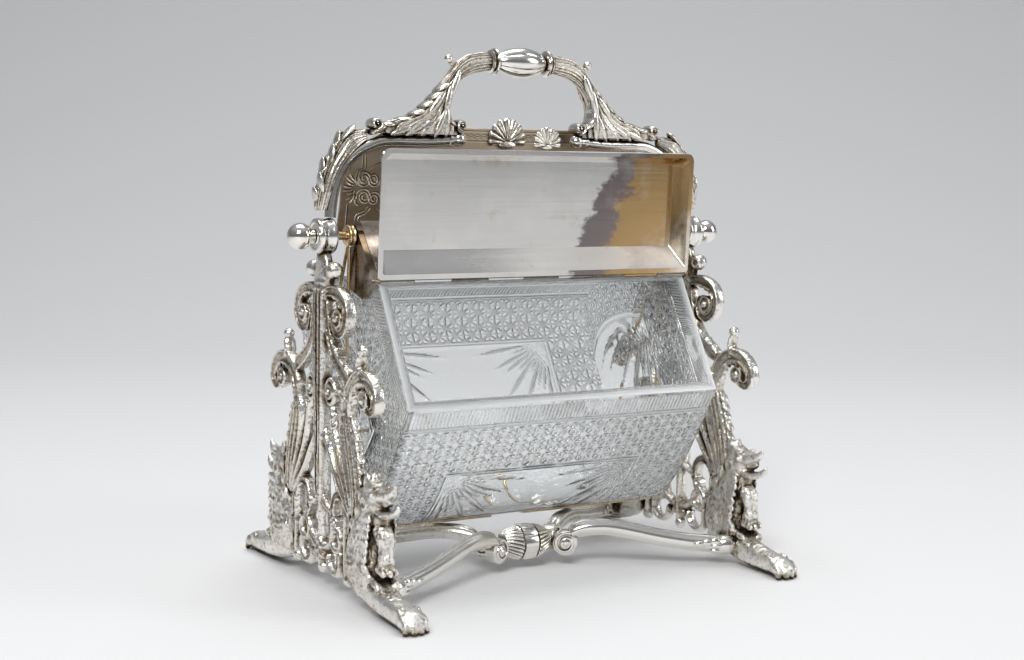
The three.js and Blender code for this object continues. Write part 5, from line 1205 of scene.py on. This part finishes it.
def handle_form():
    form = Form()
    inner, outer = (
        between(shares, (HANDLE_START, HANDLE_FOOT), (GRIP_Z + radius, HANDLE_BASE))
        for shares, radius in ((HANDLE_INNER_SHARES, -HANDLE_RADIUS), (HANDLE_OUTER_SHARES, HANDLE_RADIUS)))
    cast(form, (inner, outer), HANDLE_HALF_SHARES, upright, 120, 130, 0.85, 18, 0.13, 8, 0.12)
    for x, lift, hand in CURLS:
        curl(form, x, HANDLE_BASE + lift, hand)
    for rail, (first, count, out) in zip((outer, inner), EDGE_LOBES):
        line, way = smooth_line(rail, 100)
        for k in range(first, first + EDGE_LOBE_PITCH * count, EDGE_LOBE_PITCH):
            (x, z), (wx, wz) = line[k], way[k]
            turn = lying(wx - 0.3 * out * wz, wz + 0.3 * out * wx)
            shift = EDGE_LOBE_OUT * out
            form.egg((x + shift * wz, 0, z - shift * wx), EDGE_LOBE_SIZE, turn, 20, 12)
    for x, z, lean in FLANK_LEAVES:
        turn = lying(math.cos(math.radians(lean)), math.sin(math.radians(lean)))
        for side in (-FLANK_LEAF_SIDE, FLANK_LEAF_SIDE):
            form.egg((x, side, z), FLANK_LEAF_SIZE, turn, 18)
    bud_x = HANDLE_START + BUD_SHARE * (HANDLE_FOOT - HANDLE_START)
    tube(form, [(bud_x + x, 0, GRIP_Z + z) for x, z in BUD_STALK], BUD_STALK_RADII, 14, 20)
    form.egg((bud_x, 0, GRIP_Z + BUD_LIFT), (BUD_RADIUS,) * 3, None, 18, 12)
    return form.egg((bud_x + BUD_ROOT[0], 0, GRIP_Z + BUD_ROOT[1]), BUD_ROOT_SIZE)


collar = turned(Form(), COLLAR_PROFILE, 64, (GRIP_HALF + COLLAR_GAP, 0, GRIP_Z), True)
make("lobed_grip", grip_form(), SMOOTH, ["handle_grip"], angle=25.0)
pair("moulded_collar", collar, SMOOTH, "grip_collar")
pair("acanthus_arm", handle_form(), LEAF, "handle_arm", angle=60.0)


# Back plate

PLATE_FRONT, PLATE_SHEET, PLATE_FOOT, PLATE_TOP = 13.2, 1.5, 184.0, 240.0
PLATE_HALF_FOOT, PLATE_HALF_TOP, PLATE_CORNER, PLATE_BEVEL = 101.7, 99.6, 40.0, 0.4
LINE_RADIUS, LINE_PROUD, EDGE_SHIFT, EDGE_RADIUS, LINE_END = 0.42, 0.25, -0.62, 0.3, 0.16
BORDER_RADIUS, BORDER_SWING, BORDER_PITCH, BORDER_HALF, FRAME_LINE_HALF = 0.24, 1.3, 4, 38, 52
BORDER_Z, FRAME_LINE_Z = (234.3, 235.5), (233.0, 238.4)
# Spirals: eye in X and Z, radius, start in degrees, turns, how much of the radius is lost
SPIRALS = [
    (-85.5, 212.6, 4.4, 200, 1.2, 0.5), (-79.9, 212.0, 3.9, 350, -1.3, 0.6),
    (-85.5, 212.6, 2.7, 230, 1.1, 0.78), (-79.9, 212.0, 2.4, 20, -1.2, 0.78),
    (-85.5, 203.0, 4.4, 160, -1.2, 0.5), (-79.9, 202.0, 3.9, 10, 1.3, 0.6),
    (-85.5, 203.0, 2.7, 130, -1.1, 0.78), (-79.9, 202.0, 2.4, 340, 1.2, 0.78),
]
STROKES = [
    [(-96.4, 187.0), (-95.8, 194.0), (-95.2, 200.0)], [(-94.6, 216.0), (-92.6, 221.4), (-88.4, 226.4)],
    [(-76.0, 207.4), (-72.0, 209.6), (-68.0, 207.4), (-72.0, 205.2), (-76.0, 207.4)],
    [(-89.6, 209.2), (-90.4, 212.6), (-89.2, 216.2), (-86.8, 218.2), (-86.4, 226.0)],
    [(-88.0, 209.8), (-88.8, 212.6), (-87.8, 215.6), (-85.0, 217.6), (-84.8, 226.5)],
    [(-90.8, 206.6), (-91.6, 203.2), (-90.4, 199.6), (-88.6, 198.4)],
    [(-83.0, 198.4), (-86.0, 195.6), (-90.2, 193.4), (-91.2, 187.0)],
    [(-81.6, 197.2), (-85.0, 194.2), (-88.6, 192.4), (-89.6, 187.0)],
    [(-82.0, 217.4), (-78.0, 220.0), (-73.0, 221.0), (-66.0, 219.0)],
    [(-78.0, 197.0), (-74.0, 194.4), (-68.0, 193.6), (-60.0, 195.0)],
]
FAN_X, FAN_Z, FAN_SAG, FAN_STROKES, FAN_START, FAN_PITCH = -88.0, 207.6, 0.4, 9, 128, 15
# Where a stroke of the fan begins, how much later every other one does, where it ends, how that varies
FAN_NEAR, FAN_LATER, FAN_FAR, FAN_SWING = 4.0, 0.4, 9.2, 1.2


def plate_outline(inset):
    points = [(-PLATE_HALF_FOOT + inset, PLATE_FOOT + inset), (PLATE_HALF_FOOT - inset, PLATE_FOOT + inset)]
    x, z, reach = PLATE_HALF_TOP - PLATE_CORNER, PLATE_TOP - PLATE_CORNER, PLATE_CORNER - inset
    for hand in (1, -1):
        for a in np.radians(np.linspace(0, 90, 25)[::hand]):
            points.append((hand * (x + reach * math.cos(a)), z + reach * math.sin(a)))
    return points


def plate_form():
    front, back, bevel = PLATE_FRONT, PLATE_FRONT + PLATE_SHEET, PLATE_BEVEL
    faces = ((bevel, front), (0, front + bevel), (0, back - bevel), (bevel, back))
    return Form().loft([[(x, y, z) for x, z in plate_outline(inset)] for inset, y in faces])


def scroll_lines():
    lines = []
    for x, z, radius, start, turns, shrink in SPIRALS:
        t = np.linspace(0, 1, 22)
        a, r = math.radians(start) + 2 * math.pi * turns * t, radius * (1 - shrink * t)
        lines.append(list(zip(x + r * np.cos(a), z + r * np.sin(a))))
    lines += STROKES
    for k in range(FAN_STROKES):
        a = math.radians(FAN_START + FAN_PITCH * k)
        near, far = FAN_NEAR + FAN_LATER * (k % 2), FAN_FAR + FAN_SWING * math.sin(2.2 * k)
        spots = ((near, 0), ((near + far) / 2, FAN_SAG), (far, 0))
        lines.append([(FAN_X + r * math.cos(a), FAN_Z - sag + r * math.sin(a)) for r, sag in spots])
    return lines


def engraving_form(shift, radius):
    """Scrolls in double lines, a fan of strokes and a scalloped border, standing out by a hair."""
    form = Form()
    for line in scroll_lines():
        for hand in (-1, 1):
            points = [(hand * x + shift, PLATE_FRONT + radius - LINE_PROUD, z + shift) for x, z in line]
            tube(form, points, [LINE_END, radius, radius, LINE_END], 8, 8 * len(points))
    x = np.linspace(-BORDER_HALF, BORDER_HALF, 4 * BORDER_HALF + 1)
    swing = BORDER_SWING * np.abs(np.sin(math.pi * x / BORDER_PITCH))
    ends = np.linspace(-FRAME_LINE_HALF, FRAME_LINE_HALF, 9)
    y = PLATE_FRONT + BORDER_RADIUS - LINE_PROUD / 2
    for z in BORDER_Z:
        tube(form, upright(x + shift, z + shift + swing, y), BORDER_RADIUS, 6, 306)
    for z in FRAME_LINE_Z:
        tube(form, upright(ends, z + shift, y), BORDER_RADIUS, 6, 60)
    return form


make("engraved_plate", plate_form(), PLATE, ["back_plate"], angle=30.0)
make("engraved_lines", engraving_form(0.0, LINE_RADIUS), ENGRAVED)
# A bright twin of every engraved line, shifted down and to the left the same way on both halves: a painted
# highlight on the edge of each cut
make("engraved_edge_highlights", engraving_form(EDGE_SHIFT, EDGE_RADIUS), PAINTED_EDGE_HIGHLIGHT)


# Shells

PLATE_SHELL_RADIUS, LID_SHELL_RADIUS, SHELL_THICK, SHELL_RIBS, SHELL_SPREAD = 13.5, 9.6, 2.2, 9, 200
SHELL_GAP, PLATE_SHELL_Z, LID_SHELL_ROOT_SHARE, LID_SHELL_DOWN = 0.3, 232.4, 0.28, 0.75
LID_LENGTH, LID_HALF, LID_RIM, LID_SHEET, LID_DEPTH, RIM_FACE = 67.0, 96.6, 1.6, 1.0, 9.6, -1.6
RIM_TOP = RIM_FACE + LID_SHEET


def shell_form(radius):
    """A scallop lying in X and Y, root at the origin and opening along +Y, ribs up in Z."""
    t = np.linspace(0, 1, 23)[:, None]
    j = np.linspace(0, SHELL_RIBS, SHELL_RIBS * 12 + 1)
    a = math.radians(SHELL_SPREAD) * (j / SHELL_RIBS - 0.5)
    rib = np.abs(np.sin(math.pi * j))
    reach = radius * (0.92 + 0.08 * rib) * (0.85 + 0.15 * np.cos(a)) * (0.1 + 0.9 * t)
    swell = np.sin(math.pi * np.minimum(1, 1.1 * t))
    height = SHELL_THICK * (0.25 + 0.45 * rib * (0.3 + 0.7 * t) + 0.3 * swell)
    height[-1] *= 0.55
    top = np.stack([reach * np.sin(a), reach * np.cos(a), height], -1)
    under = top * [1, 1, -0.62] + [0, 0, 0.3 * SHELL_THICK]
    form = Form().loft(np.concatenate([top, under[:, ::-1]], 1), "strips")
    root = (0.4 * radius, 0.17 * radius, 0.45 * SHELL_THICK)
    return form.egg((0, -0.1 * radius, 0.4 * SHELL_THICK), root, None, 20)


def stood_up(points):
    x, y, z = points.T
    return upright(x, y + PLATE_SHELL_Z, PLATE_FRONT - SHELL_GAP - z)


def on_lid(points):
    root = -LID_LENGTH - SHELL_GAP - LID_SHELL_RADIUS * LID_SHELL_ROOT_SHARE
    return lid_frame(points * [1, -1, 1] + [0, root, RIM_TOP - LID_SHELL_DOWN])


plate_shell = shell_form(PLATE_SHELL_RADIUS).moved(stood_up)
lid_shell = shell_form(LID_SHELL_RADIUS).moved(on_lid)
make("back_shell", plate_shell, LEAF, ["plate_shell"], "worn_silver")
make("lid_thumb_shell", lid_shell, LEAF, ["lid_shell"], "worn_silver", "lid")


# Lid

HINGE_GAP, PAN_CORNER, RIM_ROUND, RIM_EDGE, RIM_TOP_BACK = 0.64, 5.0, 0.3, 0.35, 0.9
KNUCKLES, KNUCKLE_SPAN, KNUCKLE_GAP, KNUCKLE_BORE, KNUCKLE_RADIUS = 9, 97.4, 0.15, 0.9, 1.6
KNUCKLE_EDGE, KNUCKLE_ROUND = 1.4, 0.3
WALL_SHARES = (0.0, 0.04, 0.5, 0.93, 1.0)
# How far the pan's walls lean in at the ends, the back and the front, and how much tighter its corners get
WALL_LEAN, CORNER_LEAN = (4.4, 11.4, 3.6), 2.0


def pan_ring(inset, back_inset, front_inset, z, corner=PAN_CORNER):
    x, front, back = LID_HALF - inset, -LID_LENGTH + front_inset, -back_inset
    tight = corner / 3
    corners = ((x - corner, front + corner, -90, corner), (x - tight, back - tight, 0, tight),
               (-x + tight, back - tight, 90, tight), (-x + corner, front + corner, 180, corner))
    points = []
    for cx, cy, start, r in corners:
        a = np.radians(np.linspace(start, start + 90, 11))
        points += list(zip(cx + r * np.cos(a), cy + r * np.sin(a), np.full(11, z)))
    return points


def pan_slope(t, sheet):
    """The bent wall at a share t of the way from rim to panel, softly curved at both ends."""
    ease = t * t * (3 - 2 * t)
    z = RIM_TOP - sheet + (LID_DEPTH - RIM_TOP) * (0.25 * ease + 0.75 * t)
    edge, (ends, back, front) = LID_RIM + sheet, WALL_LEAN
    corner = PAN_CORNER - CORNER_LEAN * t - 0.5 * sheet
    return pan_ring(edge + ends * t, HINGE_GAP + edge + back * t, edge + front * t, z, corner)


def lid_form():
    lip = LID_RIM + LID_SHEET - RIM_ROUND
    inside = [pan_slope(t, LID_SHEET) for t in WALL_SHARES[::-1]]
    inside += [pan_ring(lip, HINGE_GAP + lip, lip, RIM_FACE)]
    outside = [
        pan_ring(RIM_EDGE, HINGE_GAP, RIM_EDGE, RIM_FACE), pan_ring(0, HINGE_GAP, 0, RIM_FACE + RIM_ROUND),
        pan_ring(0, HINGE_GAP, 0, RIM_TOP - RIM_ROUND), pan_ring(RIM_EDGE, RIM_TOP_BACK, RIM_EDGE, RIM_TOP)]
    outside += [pan_slope(t, 0) for t in WALL_SHARES]
    form = Form().loft(inside + outside)
    pitch = 2 * KNUCKLE_SPAN / KNUCKLES
    end = pitch - 2 * KNUCKLE_GAP
    profile = [
        (KNUCKLE_BORE, 0), (KNUCKLE_EDGE, 0), (KNUCKLE_RADIUS, KNUCKLE_ROUND),
        (KNUCKLE_RADIUS, end - KNUCKLE_ROUND), (KNUCKLE_EDGE, end), (KNUCKLE_BORE, end)]
    for k in range(1, KNUCKLES, 2):
        turned(form, profile, 24, (k * pitch - KNUCKLE_SPAN + KNUCKLE_GAP, 0, 0), True)
    return form.moved(lid_frame)


make("pressed_lid", lid_form(), lid_material(), ["lid"], body="lid", angle=30.0)


# Pivots, knobs and cradle

KNOB_FACE, KNOB_CENTRE, KNOB_RADIUS, KNOB_NECK, KNOB_TIP = 120.3, 7.5, 6.8, 3.1, 0.01
KNOB_STEM, KNOB_BORE = [(2.45, 0), (3.3, 0), (3.7, 0.4), (3.7, 0.9), (3.1, 1.3)], [(0.01, 5.0), (2.45, 5.0)]
PIN_START = 94.9
PIN_PROFILE = [
    (0.01, -2.4), (2.2, -2.4), (3.0, -2.1), (3.2, -1.6), (3.2, -0.3), (2.2, -0.3), (2.2, 30.1), (0.01, 30.1),
]
HUB_START, HUB_LENGTH = 98.4, 4.0
HUB_PROFILE = [
    (2.45, 0), (5.0, 0), (5.5, 0.4), (5.6, 0.9), (5.2, 1.5), (5.2, 2.5), (5.6, 3.1), (5.5, 3.6),
    (5.0, HUB_LENGTH), (2.45, HUB_LENGTH),
]
WIRE, WIRE_BEND, WIRE_GAP, WIRE_BACK, WIRE_START, WIRE_MIDDLE, WIRE_CLEAR = 0.9, 6.0, 8.0, 8.0, 5.9, 55, 0.3
WIRE_CORNER = np.array([-MOUTH_BACK - BELLY + CORNER, MOUTH_UP - BELLY_DEPTH])
WIRE_REACH = CORNER + WIRE_CLEAR + WIRE
FAR_ANGLE = math.atan2(-WIRE_CORNER[1], -WIRE_CORNER[0])
CORNER_LENGTH = WIRE_REACH * (math.pi / 2 - FAR_ANGLE)


def knob_form():
    a = np.linspace(math.asin(KNOB_NECK / KNOB_RADIUS), math.pi, 30)
    ball = list(zip(np.maximum(KNOB_RADIUS * np.sin(a), KNOB_TIP), KNOB_CENTRE - KNOB_RADIUS * np.cos(a)))
    return turned(Form(), KNOB_STEM + ball + KNOB_BORE, 56, PIVOT + [KNOB_FACE, 0, 0], True)


def under(along):
    """A place just outside the box's section, by the way round its rounded corner to its floor."""
    if along <= CORNER_LENGTH:
        a = FAR_ANGLE + along / WIRE_REACH
        return WIRE_CORNER - WIRE_REACH * np.array([math.cos(a), math.sin(a)])
    return WIRE_CORNER + np.array([along - CORNER_LENGTH, -WIRE_REACH])


def rounded(start, corner, end):
    t = np.linspace(0, 1, 7)[:, None]
    return list((1 - t) ** 2 * start + 2 * t * (1 - t) * corner + t * t * end)


def wire_form():
    """One wire: down from the pivot, in along the box's front, round under it and out to the pivot again."""
    side = HUB_START + HUB_LENGTH / 2
    back_run = CORNER_LENGTH + BELLY - CORNER - WIRE_BACK
    front, back = under(0), under(back_run)

    def spot(x, place):
        return np.array([x, *place])

    def toward(end, reach):
        return spot(side, end * reach / np.linalg.norm(end))

    far, near = np.linalg.norm(front), np.linalg.norm(back)
    run = np.linspace(WIRE_BEND, back_run - WIRE_BEND, 10)
    points = [toward(front, WIRE_START), toward(front, far / 2)]
    points += rounded(toward(front, far - WIRE_BEND), spot(side, front), spot(side - WIRE_BEND, front))
    points += [spot(WIRE_MIDDLE, front)]
    points += rounded(spot(WIRE_GAP + WIRE_BEND, front), spot(WIRE_GAP, front), spot(WIRE_GAP, under(run[0])))
    points += [spot(WIRE_GAP, under(along)) for along in run[1:-1]]
    points += rounded(spot(WIRE_GAP, under(run[-1])), spot(WIRE_GAP, back), spot(WIRE_GAP + WIRE_BEND, back))
    points += [spot(WIRE_MIDDLE, back)]
    points += rounded(spot(side - WIRE_BEND, back), spot(side, back), toward(back, near - WIRE_BEND))
    points += [toward(back, near / 2), toward(back, WIRE_START)]
    return tube(Form(), points, WIRE, 14, 420).moved(hang)


pin = turned(Form(), PIN_PROFILE, 40, PIVOT + [PIN_START, 0, 0])
hub = turned(Form(), HUB_PROFILE, 48, PIVOT + [HUB_START, 0, 0], True)
pair("ball_finial", knob_form(), BALL, "ball_knob", body="barrel")
pair("brass_pin", pin, BRASS, "pivot_pin", slot="gilt", body="barrel")
pair("brass_collar", hub, BRASS, "pivot_collar", slot="gilt", body="barrel")
pair("bent_wire", wire_form(), BRASS, "cradle_wire", slot="gilt", body="barrel")


# Stage

STAGE_HALF, STAGE_FRONT, STAGE_BACK, STAGE_BEND, STAGE_HEIGHT = 14.0, -24.0, 0.9, 1.8, 3.0
STAGE_COLOR, STAGE_ROUGHNESS = (0.8, 0.8, 0.8), 0.6
# Lights: place, aim, width and height, power
LIGHTS = {
    "key": ((-1.1, -1.3, 1.5), (0, 0, 0.14), (0.8, 0.8), 28.0),
    "fill": ((1.5, -1.2, 0.9), (0, 0, 0.14), (0.7, 1.2), 9.0),
    "top": ((0.1, 0.3, 1.9), (0, 0, 0.1), (1.4, 1.0), 16.0),
}
SKY = [
    (0.0, (0.4, 0.4, 0.4)), (0.5, (0.13, 0.135, 0.145)),
    (0.75, (0.2, 0.205, 0.215)), (1.0, (0.5, 0.51, 0.53)),
]


def add_stage():
    profile = [(STAGE_FRONT, 0.0)]
    for a in np.linspace(0, math.pi / 2, 17):
        profile.append((STAGE_BACK + STAGE_BEND * math.sin(a), STAGE_BEND * (1 - math.cos(a))))
    profile.append((STAGE_BACK + STAGE_BEND, STAGE_HEIGHT))
    turn = Matrix.Rotation(-YAW, 3, "Z")
    verts = [turn @ Vector((x, y, z)) for y, z in profile for x in (-STAGE_HALF, STAGE_HALF)]
    faces = [(2 * i, 2 * i + 1, 2 * i + 3, 2 * i + 2) for i in range(len(profile) - 1)]
    mesh = meshed("floor", verts, faces)
    mesh.shade_smooth()
    mesh.materials.append(Surface("floor").finish({"Base Color": STAGE_COLOR, "Roughness": STAGE_ROUGHNESS}))
    floor = placed("floor", mesh)


def add_light(name, place, aim, size, power):
    data = bpy.data.lights.new(name, "AREA")
    data.shape = "RECTANGLE"
    data.size, data.size_y = size
    data.energy = power
    light = placed(name, data)
    light.location = place
    light.rotation_euler = (Vector(aim) - Vector(place)).to_track_quat("-Z", "Y").to_euler()


def add_world():
    world = bpy.data.worlds.new("world")
    bpy.context.scene.world = world
    world.use_nodes = True
    s = Nodes(world.node_tree)
    height = s.span(s.axes("Generated")["Z"], -1.0, 1.0)
    background = world.node_tree.nodes["Background"]
    s.feed(background.inputs["Color"], s.ramp(height, SKY))
    s.feed(background.inputs["Strength"], 1.0)


add_camera()
add_stage()
for name, row in LIGHTS.items():
    add_light(name, *row)
add_world()
bpy.context.scene.view_settings.view_transform = "Standard"

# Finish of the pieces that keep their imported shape
FINISHES = {"silver": SMOOTH, "worn_silver": LEAF, "gilt": BRASS, "cut_glass": GLASS}
# The end plates' sheet carries a painted reflection, drawn as dark and pale veins
SHEETS = {"left_end_plate": PAINTED_REFLECTION_SHEET, "right_end_plate": PAINTED_REFLECTION_SHEET, "hinge_rail": RAIL}
SHEET_BEVEL, BEVEL_FROM = 0.4, math.radians(35)
slots = {item["node"]: item["material_slot"] for item in frame["record"]["subparts"]}
for node, piece in frame["nodes"].items():
    piece.data.materials.clear()
    piece.data.materials.append(SHEETS.get(node, FINISHES[slots[node]]))
    if node in SHEETS:
        bevel = piece.modifiers.new("bevel", "BEVEL")
        bevel.width = SHEET_BEVEL * MM
        bevel.segments = 2
        bevel.angle_limit = BEVEL_FROM
